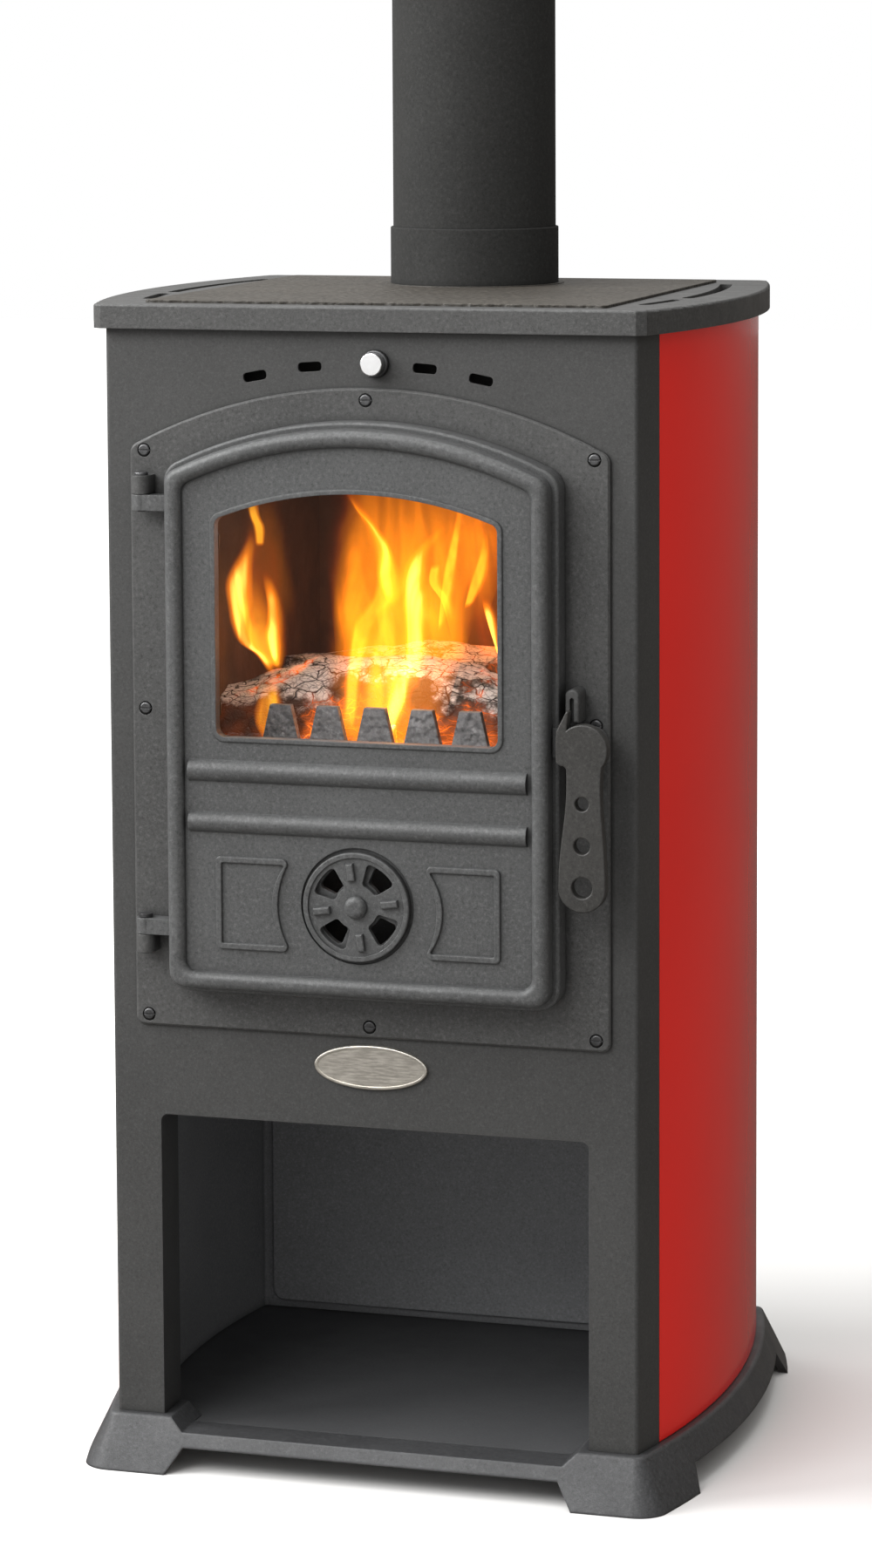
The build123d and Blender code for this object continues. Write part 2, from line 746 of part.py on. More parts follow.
fence_x = -6.0
fence_depth = 32.0
tooth_pitch = 34.5
fence_shoulder = 517.0
fence_top = 544.0
with BuildPart() as log_fence:
    with BuildSketch(face_plane(fence_depth + 6)):
        with Locations((fence_x, (grate_level + fence_shoulder) / 2)):
            Rectangle(210, fence_shoulder - grate_level)
        for tooth in range(-2, 3):
            with BuildLine(mode=Mode.PRIVATE) as tooth_line:
                Polyline(
                    (fence_x + tooth * tooth_pitch - 14, fence_shoulder - 1),
                    (fence_x + tooth * tooth_pitch + 14, fence_shoulder - 1),
                    (fence_x + tooth * tooth_pitch + 7.5, fence_top),
                    (fence_x + tooth * tooth_pitch - 7.5, fence_top),
                    close=True,
                )
            add(make_face(tooth_line.edges(), mode=Mode.PRIVATE))
    extrude(amount=6)
    with BuildSketch(Plane.XY.offset(grate_level)):
        with Locations((fence_x, front_y + fence_depth + 14)):
            Rectangle(210, 28)
    extrude(amount=5)
save(log_fence, "log_fence")

# ---------------------------------------------------------------- door frame plate

upper_arm = (683.8, 694.8)
lower_arm = (386.4, 397.5)
lug_height = 12.8
upper_lug = (upper_arm[1] + 0.4, upper_arm[1] + 0.4 + lug_height)
lower_lug = (lower_arm[0] - 0.4 - lug_height, lower_arm[0] - 0.4)
hinge_y = front_y + hinge_depth
mouth = door_outline(mouth_inset, 3)
with BuildPart() as door_frame:
    with BuildSketch(face_plane(0)):
        add(arched(frame_half, frame_bottom, frame_crown, frame_arch, 6, 8))
    extrude(amount=frame_sheet)
    chamfer(door_frame.faces().sort_by(Axis.Y)[0].edges(), 1.4)
    with BuildSketch(face_plane(frame_screw_seat)):
        with Locations(*frame_screw_places):
            Circle(frame_screw_head + 0.6)
    extrude(amount=frame_sheet, mode=Mode.SUBTRACT)
    with BuildSketch(face_plane(5)):
        add(mouth)
        with Locations(*frame_screw_places):
            Circle(frame_screw_radius)
    extrude(amount=30, mode=Mode.SUBTRACT)
    # Hinge lugs, each a barrel on a short web.
    for low, high in (upper_lug, lower_lug):
        with BuildSketch(Plane.XY.offset(low)):
            with Locations((hinge_x, hinge_y)):
                Circle(hinge_radius)
            with Locations((hinge_x, (hinge_y + front_y - frame_sheet) / 2 + 0.5)):
                Rectangle(2 * hinge_radius, -hinge_depth - frame_sheet + 1)
            with Locations((hinge_x, hinge_y)):
                Circle(pin_radius, mode=Mode.SUBTRACT)
        extrude(amount=high - low)
    # Latch keeper: an upright rounded block with a grooved face.
    with BuildSketch(face_plane(-frame_sheet + 0.5)):
        with Locations((150.5, 557)):
            Rectangle(9.5, 18)
        with Locations((150.5, 566)):
            Circle(4.75)
    extrude(amount=20)
    fillet(door_frame.faces().sort_by(Axis.Y)[0].edges(), 1.6)
    with BuildSketch(face_plane(-frame_sheet - 19.5)):
        with Locations((150.5, 555)):
            SlotOverall(20, 3, rotation=90)
    extrude(amount=-4, mode=Mode.SUBTRACT)
save(door_frame, "door_frame")

frame_screws = pan_screws(
    frame_screw_places, frame_screw_seat, frame_screw_head, 2.8, frame_screw_radius, 11, False
)
save(frame_screws, "frame_screws")

with BuildPart() as hinge_pins:
    # Upper pin: headed above its lug, and down through the door's arm.
    for low, high, head in (
        (upper_arm[0] - 1, upper_lug[1], upper_lug[1]),
        (lower_lug[0] - 1, lower_arm[1] + 0.4, lower_arm[1] + 0.4),
    ):
        with BuildSketch(Plane.XY.offset(low)):
            with Locations((hinge_x, hinge_y)):
                Circle(pin_radius)
        extrude(amount=high - low)
        with BuildSketch(Plane.XY.offset(head)):
            with Locations((hinge_x, hinge_y)):
                Circle(4.8)
        extrude(amount=2.4)
    fillet(hinge_pins.faces().filter_by(Axis.Z).sort_by(Axis.Z)[-1].edges(), 1.2)
save(hinge_pins, "hinge_pins")

# ---------------------------------------------------------------- door

rib_levels = ((498.5, 513.5), (463.0, 477.0))
rope_width = 8.0
rope_inset = 9.5
rope_depth = 4.0
pocket_inset = 22.0
clip_places = ((-1, 548.0), (1, 548.0), (-1, 664.0), (1, 664.0))
clip_x = 114.0
clip_spots = [(side * clip_x, level) for side, level in clip_places]
clip_screw_radius = 1.8
seat_back = -18.0


def air_hole(inner, outer, spread):
    """One of the wheel's air holes: a rounded piece of a ring, centred on the local X axis."""
    with BuildSketch() as hole:
        with BuildLine():
            inner_arc = CenterArc((0, 0), inner, -spread / 2, spread)
            outer_arc = CenterArc((0, 0), outer, -spread / 2, spread)
            Line(inner_arc @ 0, outer_arc @ 0)
            Line(inner_arc @ 1, outer_arc @ 1)
        make_face()
        fillet(hole.vertices(), 2.8)
    return hole.sketch


cord_width = 4.2
cord_height = 2.1


def ornament(side, shrink):
    """A window shape beside the air wheel, hollowed towards it, drawn smaller by `shrink`."""
    outer_x = side * (102.0 - shrink)
    inner_x = side * (47.5 + shrink)
    waist_x = side * (57.0 + shrink)
    low = 381.8 + shrink
    high = 446.5 - shrink
    with BuildSketch() as shape:
        with BuildLine():
            Line((outer_x, low), (inner_x, low))
            ThreePointArc((inner_x, low), (waist_x, (low + high) / 2), (inner_x, high))
            Line((inner_x, high), (outer_x, high))
            Line((outer_x, high), (outer_x, low))
        make_face()
        fillet(shape.vertices(), 3.6 - shrink * 0.6)
    return shape.sketch


with BuildPart() as door:
    # Flange with a softened outer edge.
    with BuildSketch(face_plane(door_back)):
        add(door_outline(0, door_corner))
    extrude(amount=door_back - flange_front)
    fillet(door.faces().sort_by(Axis.Y)[0].edges(), 2.2)
    # Raised border, rounded over.
    with BuildSketch(face_plane(flange_front + 1)):
        add(door_outline(bead_outer, door_corner - bead_outer))
        add(door_outline(bead_inner, 8), mode=Mode.SUBTRACT)
    extrude(amount=flange_front + 1 - bead_front)
    fillet(door.faces().sort_by(Axis.Y)[0].edges(), 5.4)
    # Field inside the border.
    with BuildSketch(face_plane(flange_front + 1)):
        add(door_outline(bead_inner - 4, 8))
    extrude(amount=flange_front + 1 - panel_front)
    with BuildSketch(face_plane(door_back + 1)):
        add(door_outline(pocket_inset, 6))
    extrude(amount=door_back + 1 - panel_back, mode=Mode.SUBTRACT)
    # Window with a thin raised rim.
    with BuildSketch(face_plane(panel_front + 1)):
        add(glass_outline(3.4, 9))
    extrude(amount=2.5)
    fillet(faces_at(door, panel_front - 1.5).edges(), 1.0)
    with BuildSketch(face_plane(0)):
        add(glass_outline(0, 6.5))
    extrude(amount=50, mode=Mode.SUBTRACT)
    # Two half-round ribs.
    for rib_low, rib_high in rib_levels:
        with BuildSketch(Plane.YZ.offset(-121)):
            with BuildLine():
                Line((front_y + panel_front + 0.5, rib_low), (front_y + panel_front, rib_low))
                ThreePointArc(
                    (front_y + panel_front, rib_low),
                    (front_y + panel_front - 5.2, (rib_low + rib_high) / 2),
                    (front_y + panel_front, rib_high),
                )
                Line((front_y + panel_front, rib_high), (front_y + panel_front + 0.5, rib_high))
                Line((front_y + panel_front + 0.5, rib_high), (front_y + panel_front + 0.5, rib_low))
            make_face()
        extrude(amount=242)
    # Two ornaments, each a rounded cord laid in a closed outline.
    with BuildSketch(face_plane(panel_front + 0.5)):
        for side in (-1, 1):
            add(ornament(side, 0))
            add(ornament(side, cord_width), mode=Mode.SUBTRACT)
    extrude(amount=cord_height + 0.5)
    fillet(faces_at(door, panel_front - cord_height).edges(), 0.7)
    # Recess and air holes for the air wheel.
    with BuildSketch(face_plane(panel_front + 2)):
        with Locations((0, wheel_z)):
            Circle(wheel_recess)
    extrude(amount=20, mode=Mode.SUBTRACT)
    with BuildSketch(face_plane(panel_back + 1)):
        with Locations(Location((0, wheel_z, 0))):
            with PolarLocations(0, 4, start_angle=45):
                add(air_hole(17, 30.5, 42))
            Circle(pin_radius + fixed_fit)
    extrude(amount=30, mode=Mode.SUBTRACT)
    # Hinge arms: a bar and a barrel at each hinge.
    for low, high in (upper_arm, lower_arm):
        with BuildSketch(Plane.XY.offset(low)):
            with Locations((hinge_x, hinge_y)):
                Circle(hinge_radius)
            with Locations(((hinge_x - door_half + 4) / 2, hinge_y)):
                Rectangle(-hinge_x - door_half + 4, 2 * hinge_radius - 1)
            with Locations((hinge_x, hinge_y)):
                Circle(pin_radius + running_fit, mode=Mode.SUBTRACT)
        extrude(amount=high - low)
    # Lug that carries the latch lever.
    with BuildSketch(face_plane(-12)):
        with Locations((lever_x, lever_z)):
            Circle(11)
        with Locations(((lever_x + door_half - 4) / 2, lever_z)):
            Rectangle(lever_x - door_half + 4, 20)
        with Locations((lever_x, lever_z)):
            Circle(stub_radius, mode=Mode.SUBTRACT)
    extrude(amount=12)
    # Groove for the rope seal, and bosses for the glass clips.
    with BuildSketch(face_plane(door_back)):
        add(door_outline(rope_inset, door_corner - 6))
        add(door_outline(rope_inset + rope_width, 5), mode=Mode.SUBTRACT)
    extrude(amount=rope_depth, mode=Mode.SUBTRACT)
    with BuildSketch(face_plane(seat_back)):
        with Locations(*clip_spots):
            Circle(5)
    extrude(amount=seat_back - panel_back + 1)
    with BuildSketch(face_plane(seat_back)):
        with Locations(*clip_spots):
            Circle(clip_screw_radius)
    extrude(amount=6, mode=Mode.SUBTRACT)
save(door, "door")

with BuildPart() as door_rope:
    with BuildSketch(face_plane(door_back + 0.7)):
        add(door_outline(rope_inset, door_corner - 6))
        add(door_outline(rope_inset + rope_width, 5), mode=Mode.SUBTRACT)
    extrude(amount=rope_depth + 0.7)
save(door_rope, "door_rope")

with BuildPart() as door_glass:
    with BuildSketch(face_plane(seat_back)):
        add(glass_outline(glass_lap, 6))
    extrude(amount=4)
save(door_glass, "door_glass")

with BuildPart() as glass_gasket:
    with BuildSketch(face_plane(seat_back - 4)):
        add(glass_outline(glass_lap, 6))
        add(glass_outline(0.6, 6), mode=Mode.SUBTRACT)
    extrude(amount=1)
save(glass_gasket, "glass_gasket")

with BuildPart() as glass_clips:
    with BuildSketch(face_plane(seat_back + 1.5)):
        for side, level in clip_places:
            with Locations((side * (clip_x - 4), level)):
                RectangleRounded(17, 12, 2)
        with Locations(*clip_spots):
            Circle(clip_screw_radius, mode=Mode.SUBTRACT)
    extrude(amount=1.5)
save(glass_clips, "glass_clips")

clip_screws = pan_screws(clip_spots, seat_back + 1.5, 3.4, 2.2, clip_screw_radius, 6, True)
save(clip_screws, "glass_clip_screws")

# ---------------------------------------------------------------- air wheel

wheel_back = panel_front + 2 - 0.3
wheel_face = wheel_back - 4.4
with BuildPart() as air_wheel:
    with BuildSketch(face_plane(wheel_back)):
        with Locations((0, wheel_z)):
            Circle(wheel_radius)
    extrude(amount=wheel_back - wheel_face + 1.4)
    fillet(air_wheel.faces().sort_by(Axis.Y)[0].edges(), 1.0)
    with BuildSketch(face_plane(wheel_face)):
        with Locations((0, wheel_z)):
            Circle(wheel_radius - 3.6)
    extrude(amount=10, mode=Mode.SUBTRACT)
    # Four grip bars.
    with BuildSketch(face_plane(wheel_face + 0.5)):
        with Locations((0, wheel_z)):
            with PolarLocations(24.5, 4, start_angle=wheel_turn):
                Rectangle(12, 5)
    extrude(amount=3.9)
    grip_faces = air_wheel.faces().filter_by(Axis.Y).sort_by(Axis.Y)[:4]
    fillet(grip_faces.edges(), 1.1)
    # Four air holes between them, and the hole on the rivet.
    with BuildSketch(face_plane(wheel_back + 1)):
        with Locations(Location((0, wheel_z, 0))):
            with PolarLocations(0, 4, start_angle=45 + wheel_turn):
                add(air_hole(15.5, 31.5, 44))
            Circle(pin_radius + running_fit)
    extrude(amount=30, mode=Mode.SUBTRACT)
save(air_wheel, "air_wheel")

dome_radius = 8.0
dome_height = 4.8
with BuildPart() as air_wheel_rivet:
    # Domed head in front of the wheel.
    with BuildSketch(face_plane(wheel_face - 0.3)):
        with Locations((0, wheel_z)):
            Circle(dome_radius)
    extrude(amount=dome_height)
    fillet(air_wheel_rivet.faces().sort_by(Axis.Y)[0].edges(), dome_height - 0.4)
    with BuildSketch(face_plane(wheel_face - 0.3)):
        with Locations((0, wheel_z)):
            Circle(pin_radius)
    extrude(amount=-(panel_back - wheel_face + 0.3 + 2.5))
    with BuildSketch(face_plane(panel_back + 2.5)):
        with Locations((0, wheel_z)):
            Circle(5.5)
    extrude(amount=2.5)
save(air_wheel_rivet, "air_wheel_rivet")

# ---------------------------------------------------------------- latch lever

lever_holes = ((496.0, 4.7), (467.5, 5.6), (439.0, 7.1))
lever_end_z = 438.5
with BuildPart() as latch_lever:
    with BuildSketch(face_plane(handle_front + 8)):
        # Grip: a waisted bar with a round lower end.
        with BuildLine():
            left_side = Spline(
                (lever_x - 11.6, lever_z - 8),
                (lever_x - 11.4, lever_z - 40),
                (lever_x - 16.3, lever_end_z + 2),
                tangents=[(0.12, -1), (0, -1)],
            )
            lower_end = ThreePointArc(
                left_side @ 1, (lever_x, lever_end_z - 16.4), (lever_x + 16.3, lever_end_z + 2)
            )
            right_side = Spline(
                lower_end @ 1,
                (lever_x + 13.4, lever_z - 40),
                (lever_x + 14.6, lever_z - 8),
                tangents=[(0, 1), (0.2, 1)],
            )
            Line(right_side @ 1, left_side @ 0)
        make_face()
        # Head, with its lobe towards the door.
        with Locations((lever_x + 0.5, lever_z - 1.5)):
            Circle(17.3)
        with Locations((lever_x - 11.5, lever_z - 1.2)):
            RectangleRounded(13, 23, 4)
        # Horn beside the keeper.
        with BuildLine(mode=Mode.PRIVATE) as horn_line:
            Polyline(
                (lever_x - 18, lever_z + 4),
                (lever_x - 17.6, lever_z + 11),
                (lever_x - 10.8, lever_z + 24.5),
                (lever_x - 9.2, lever_z + 24),
                (lever_x - 10.6, lever_z + 10),
                close=True,
            )
        add(make_face(horn_line.edges(), mode=Mode.PRIVATE))
        for hole_z, hole_radius in lever_holes:
            with Locations((lever_x, hole_z)):
                Circle(hole_radius, mode=Mode.SUBTRACT)
    extrude(amount=8)
    fillet(latch_lever.faces().sort_by(Axis.Y)[0].edges(), 0.9)
    # Hub and stub shaft that runs in the door's lug.
    with BuildSketch(face_plane(-24.3)):
        with Locations((lever_x, lever_z)):
            Circle(lever_hub_radius)
    extrude(amount=-24.3 - handle_front - 7)
    with BuildSketch(face_plane(-11.7)):
        with Locations((lever_x, lever_z)):
            Circle(stub_radius - running_fit)
    extrude(amount=14)
    with BuildSketch(face_plane(-11.7)):
        with Locations((lever_x, lever_z)):
            Circle(lever_screw_radius)
    extrude(amount=12, mode=Mode.SUBTRACT)
save(latch_lever, "latch_lever")

with BuildPart() as lever_washer:
    with BuildSketch(face_plane(-10.2)):
        with Locations((lever_x, lever_z)):
            Circle(9)
            Circle(lever_screw_radius, mode=Mode.SUBTRACT)
    extrude(amount=1.5)
save(lever_washer, "lever_washer")

lever_screw = pan_screws([(lever_x, lever_z)], -10.2, 4.2, 2.6, lever_screw_radius, 11, True)
save(lever_screw, "lever_screw")

# ---------------------------------------------------------------- smoke damper

lug_depth = 235.0
with BuildPart() as knob_bush:
    with BuildSketch(face_plane(0)):
        with Locations((damper_x, damper_z)):
            Circle(9.6)
    extrude(amount=4.5)
    fillet(knob_bush.faces().sort_by(Axis.Y)[0].edges(), 1.4)
    with BuildSketch(face_plane(6)):
        with Locations((damper_x, damper_z)):
            Circle(7)
    extrude(amount=6)
    with BuildSketch(face_plane(7)):
        with Locations((damper_x, damper_z)):
            Circle(rod_radius + running_fit)
    extrude(amount=20, mode=Mode.SUBTRACT)
save(knob_bush, "knob_bush")

knob_back = -5.5
rod_front = -10.0
with BuildPart() as damper_knob:
    with BuildSketch(face_plane(knob_back)):
        with Locations((damper_x, damper_z)):
            Circle(7.8)
    extrude(amount=7)
    fillet(damper_knob.faces().sort_by(Axis.Y)[0].edges(), 0.7)
    with BuildSketch(face_plane(knob_back)):
        with Locations((damper_x, damper_z)):
            Circle(rod_radius + fixed_fit)
    extrude(amount=knob_back - rod_front, mode=Mode.SUBTRACT)
save(damper_knob, "damper_knob")

with BuildPart() as damper_rod:
    with BuildSketch(face_plane(lug_depth + 14)):
        with Locations((damper_x, damper_z)):
            Circle(rod_radius)
    extrude(amount=lug_depth + 14 - rod_front)
save(damper_rod, "damper_rod")

damper_low = baffle_level + baffle_thick + 0.4
with BuildPart() as damper_plate:
    with BuildSketch(Plane.XY.offset(damper_low)):
        with Locations((0, front_y + lug_depth)):
            RectangleRounded(100, 80, 5)
    extrude(amount=3)
    with BuildSketch(face_plane(lug_depth + 3)):
        with Locations((damper_x, (damper_low + damper_z + 12) / 2)):
            Rectangle(24, damper_z + 12 - damper_low)
        with Locations((damper_x, damper_z)):
            Circle(rod_radius + fixed_fit, mode=Mode.SUBTRACT)
    extrude(amount=3)
save(damper_plate, "damper_plate")

with BuildPart() as damper_nuts:
    for nut_depth in (lug_depth, lug_depth + 9):
        with BuildSketch(face_plane(nut_depth)):
            with Locations((damper_x, damper_z)):
                RegularPolygon(7.5, 6)
                Circle(rod_radius + fixed_fit, mode=Mode.SUBTRACT)
        extrude(amount=6)
save(damper_nuts, "damper_nuts")

# ---------------------------------------------------------------- name plate, left blank

with BuildPart() as badge:
    with BuildSketch(face_plane(0)):
        with Locations((0, 297)):
            Ellipse(41, 15.6)
    extrude(amount=2.6)
    fillet(badge.faces().sort_by(Axis.Y)[0].edges(), 0.8)
    with BuildSketch(face_plane(-2.6)):
        with Locations((0, 297)):
            Ellipse(38.8, 13.4)
    extrude(amount=-0.6, mode=Mode.SUBTRACT)
save(badge, "badge")
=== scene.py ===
"""Looks for a free-standing wood burning stove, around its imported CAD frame.

Metres. +X is the stove's right seen from the front, the front faces -Y, +Z is up and the floor
is z = 0.
"""

import json
import math
import random

import bpy
from mathutils import Matrix, Vector, noise


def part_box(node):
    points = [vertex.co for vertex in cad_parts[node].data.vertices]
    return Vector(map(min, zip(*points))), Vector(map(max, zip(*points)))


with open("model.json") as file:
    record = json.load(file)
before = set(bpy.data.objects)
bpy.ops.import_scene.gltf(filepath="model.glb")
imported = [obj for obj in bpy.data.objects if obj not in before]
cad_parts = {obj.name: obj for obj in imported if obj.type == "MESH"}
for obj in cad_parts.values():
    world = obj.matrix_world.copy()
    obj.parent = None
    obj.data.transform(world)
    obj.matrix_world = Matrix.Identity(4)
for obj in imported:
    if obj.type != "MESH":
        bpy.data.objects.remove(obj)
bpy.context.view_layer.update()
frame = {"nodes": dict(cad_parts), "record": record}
nodes = frame["nodes"]

# How far each material's sharp edges are rounded over.
iron_edge = 0.0009
# The plinth's wider rounding also widens its painted edge highlights.
plinth_edge = 0.0024
sheet_edge = 0.0007
enamel_edge = 0.0012
metal_edge = 0.0004
firebox_edge = 0.001
# Narrower gaps than this are darkened, partly as dust and soot and partly as painted shade.
crease_width = 0.010

pale_ash = (0.32, 0.30, 0.28)
white_ash = (0.86, 0.81, 0.80)
charcoal = (0.022, 0.018, 0.016)
ember_orange = (1.0, 0.17, 0.012, 1)
lit_studio = (1.15, 1.15, 1.15)
unlit_studio = (0.13, 0.115, 0.10)

# ---------------------------------------------------------------- node helpers


class Shader:
    """A Principled material with short calls for its procedural nodes."""

    def __init__(self, name):
        self.material = bpy.data.materials.new(name)
        self.material.use_nodes = True
        self.tree = self.material.node_tree
        self.surface = self.tree.nodes["Principled BSDF"]
        self.coords = self.tree.nodes.new("ShaderNodeTexCoord").outputs["Object"]

    def put(self, socket, value):
        """Links a socket, or sets a plain value."""
        if isinstance(value, bpy.types.NodeSocket):
            self.tree.links.new(value, socket)
        else:
            socket.default_value = value

    def node(self, kind, inputs=(), **settings):
        new = self.tree.nodes.new(kind)
        for key, value in settings.items():
            setattr(new, key, value)
        for key, value in dict(inputs).items():
            self.put(new.inputs[key], value)
        return new

    def noise(self, scale, detail=2.0, rough=0.5, warp=0.0, at=None):
        """A noise value from 0 to 1, `scale` cells to the metre."""
        inputs = {"Scale": scale, "Detail": detail, "Roughness": rough, "Distortion": warp}
        inputs["Vector"] = at or self.coords
        return self.node("ShaderNodeTexNoise", inputs).outputs["Fac"]

    def cells(self, scale, feature="F1", at=None, spread=1.0):
        inputs = {"Scale": scale, "Randomness": spread, "Vector": at or self.coords}
        return self.node("ShaderNodeTexVoronoi", inputs, feature=feature).outputs["Distance"]

    def stretched(self, x, y, z):
        """Object coordinates stretched along each axis, for drawn-out grain."""
        return self.node(
            "ShaderNodeMapping", {"Vector": self.coords, "Scale": (x, y, z)}
        ).outputs["Vector"]

    def span(self, value, low, high, to_low=0.0, to_high=1.0):
        """A value mapped from one range to another, smoothly and clamped."""
        inputs = {
            "Value": value, "From Min": low, "From Max": high, "To Min": to_low, "To Max": to_high
        }
        return self.node(
            "ShaderNodeMapRange", inputs, interpolation_type="SMOOTHSTEP"
        ).outputs["Result"]

    def math(self, operation, a, b=0.0):
        new = self.node("ShaderNodeMath", operation=operation)
        self.put(new.inputs[0], a)
        self.put(new.inputs[1], b)
        return new.outputs[0]

    def mix(self, fac, a, b, blend="MIX"):
        """Two colours mixed by `fac`."""
        new = self.node("ShaderNodeMix", data_type="RGBA", blend_type=blend)
        for socket, value in ((new.inputs[0], fac), (new.inputs[6], a), (new.inputs[7], b)):
            self.put(socket, (*value, 1) if isinstance(value, tuple) else value)
        return new.outputs[2]

    def bump(self, height, distance, strength=1.0, normal=None):
        inputs = {"Height": height, "Distance": distance, "Strength": strength}
        if normal is not None:
            inputs["Normal"] = normal
        return self.node("ShaderNodeBump", inputs).outputs["Normal"]

    def rounded(self, radius):
        """The surface normal with sharp edges rounded over."""
        return self.node("ShaderNodeBevel", {"Radius": radius}, samples=4).outputs["Normal"]

    def edges(self, rounded_normal):
        """A mask that is 1 on outer and inner edges and 0 on flat faces."""
        flat = self.node("ShaderNodeNewGeometry").outputs["Normal"]
        turn = self.node("ShaderNodeVectorMath", operation="DOT_PRODUCT")
        self.put(turn.inputs[0], rounded_normal)
        self.put(turn.inputs[1], flat)
        return self.span(turn.outputs["Value"], 0.995, 0.86)

    def open_sky(self, reach):
        """1 on open faces, falling towards 0 in creases, gaps and holes narrower than `reach`."""
        return self.node("ShaderNodeAmbientOcclusion", {"Distance": reach}, samples=6).outputs["AO"]

    def edge_highlight_and_crease_shade(self, base, colour, soft, wear_and_highlight):
        """A base colour lightened on outer edges, partly rubbed wear and partly painted highlight,
        and darkened in creases, partly dust and soot and partly painted shade.
        """
        sky = self.open_sky(crease_width)
        # Outer edges lightened: partly rubbed wear, partly painted highlight.
        rub_and_highlight = self.math("MULTIPLY", self.edges(soft), self.span(sky, 0.72, 0.95, 0.0, wear_and_highlight))
        base = self.mix(rub_and_highlight, base, scaled(colour, 2.8))
        # Creases darkened: partly dust and soot, partly painted shade.
        return self.mix(self.span(sky, 0.25, 0.85, 0.75, 0.0), base, scaled(colour, 0.22))

    def coordinate(self, axis):
        return self.node("ShaderNodeSeparateXYZ", {"Vector": self.coords}).outputs[axis]

    def set(self, **values):
        """Principled inputs by name, with _ for a space."""
        for key, value in values.items():
            self.put(self.surface.inputs[key.replace("_", " ")], value)
        return self


def scaled(colour, factor):
    return tuple(channel * factor for channel in colour)


# ---------------------------------------------------------------- materials

materials = {}


def speckled(s, base, colour, grain, strength):
    """Coarse and fine grains of lighter and darker paint."""
    coarse = s.noise(grain * 0.42, 3, 0.75)
    light = s.math("MULTIPLY", s.span(coarse, 0.52, 0.68), strength)
    dark = s.math("MULTIPLY", s.span(coarse, 0.48, 0.32), strength)
    base = s.mix(light, base, scaled(colour, 1.7))
    base = s.mix(dark, base, scaled(colour, 0.5))
    fine = s.span(s.noise(grain * 1.1, 2, 0.7), 0.38, 0.68)
    return s.mix(s.math("MULTIPLY", fine, strength * 0.5), base, scaled(colour, 1.6))


def cast(name, colour, rough, grain, depth, wear_and_highlight=0.35, lumps=0.0, edge=iron_edge):
    """Sand-cast iron under stove paint: fine grain, soft tone changes, rubbed edges lightened partly
    as painted highlight, and creases darkened partly as painted shade.
    """
    s = Shader(name)
    tone = s.span(s.noise(9, 4, 0.6), 0.3, 0.7)
    base = s.mix(tone, scaled(colour, 0.84), scaled(colour, 1.10))
    base = speckled(s, base, colour, grain, 0.8)
    soft = s.rounded(edge)
    patchy_wear_and_highlight = s.span(s.noise(60, 3, 0.6), 0.3, 0.7, wear_and_highlight * 0.5, wear_and_highlight)
    # Edges lightened, partly wear and partly painted highlight; creases darkened, partly dust and
    # partly painted shade.
    base = s.edge_highlight_and_crease_shade(base, colour, soft, patchy_wear_and_highlight)
    coarse = s.math("MULTIPLY", s.noise(grain * 0.22, 2), 0.8)
    height = s.math("ADD", s.noise(grain, 3, 0.65), coarse)
    normal = s.bump(height, depth, 0.8, soft)
    if lumps > 0:
        beads = s.cells(210, "SMOOTH_F1", spread=0.9)
        ridges = s.noise(95, 3, 0.55, 0.6)
        relief = s.math("ADD", beads, s.math("MULTIPLY", ridges, 0.9))
        normal = s.bump(relief, lumps, 1.0, normal)
    shine = s.span(s.noise(34, 3), 0.3, 0.7, rough - 0.05, rough + 0.07)
    s.set(Base_Color=base, Roughness=shine, Normal=normal, Specular_IOR_Level=0.42)
    materials[name] = s.material


def sheet_paint(name, colour, rough, grain=1300, specular=0.4):
    """Stove paint sprayed on sheet steel: an even, very fine orange peel."""
    s = Shader(name)
    tone = s.span(s.noise(5, 3, 0.6), 0.3, 0.7)
    base = s.mix(tone, scaled(colour, 0.90), scaled(colour, 1.07))
    base = speckled(s, base, colour, grain, 0.5)
    soft = s.rounded(sheet_edge)
    # Edges lightened, partly wear and partly painted highlight; creases darkened, partly dust and
    # partly painted shade.
    base = s.edge_highlight_and_crease_shade(base, colour, soft, 0.15)
    height = s.math("ADD", s.noise(grain, 2, 0.6), s.math("MULTIPLY", s.noise(240, 2), 0.5))
    shine = s.span(s.noise(22, 3), 0.3, 0.7, rough - 0.04, rough + 0.05)
    s.set(Base_Color=base, Roughness=shine, Normal=s.bump(height, 0.00006, 0.9, soft))
    s.set(Specular_IOR_Level=specular)
    materials[name] = s.material


def enamel(name, colour):
    """Glossy vitreous enamel: deep colour, a wavy clear surface and dark edges, where it is thin."""
    s = Shader(name)
    tone = s.span(s.noise(3.2, 2), 0.3, 0.7)
    base = s.mix(tone, scaled(colour, 0.94), scaled(colour, 1.05))
    pores = s.span(s.noise(1500, 1), 0.68, 0.8)
    base = s.mix(s.math("MULTIPLY", pores, 0.2), base, scaled(colour, 0.6))
    soft = s.rounded(enamel_edge)
    base = s.mix(s.math("MULTIPLY", s.edges(soft), 0.5), base, scaled(colour, 0.35))
    wave = s.math("ADD", s.noise(26, 1), s.math("MULTIPLY", s.noise(160, 1), 0.06))
    normal = s.bump(wave, 0.0004, 0.35, soft)
    shine = s.span(s.noise(12, 3), 0.3, 0.7, 0.16, 0.22)
    s.set(Base_Color=base, Roughness=shine, Normal=normal, Specular_IOR_Level=0.5)
    s.set(Coat_Weight=0.2, Coat_Roughness=0.05)
    materials[name] = s.material


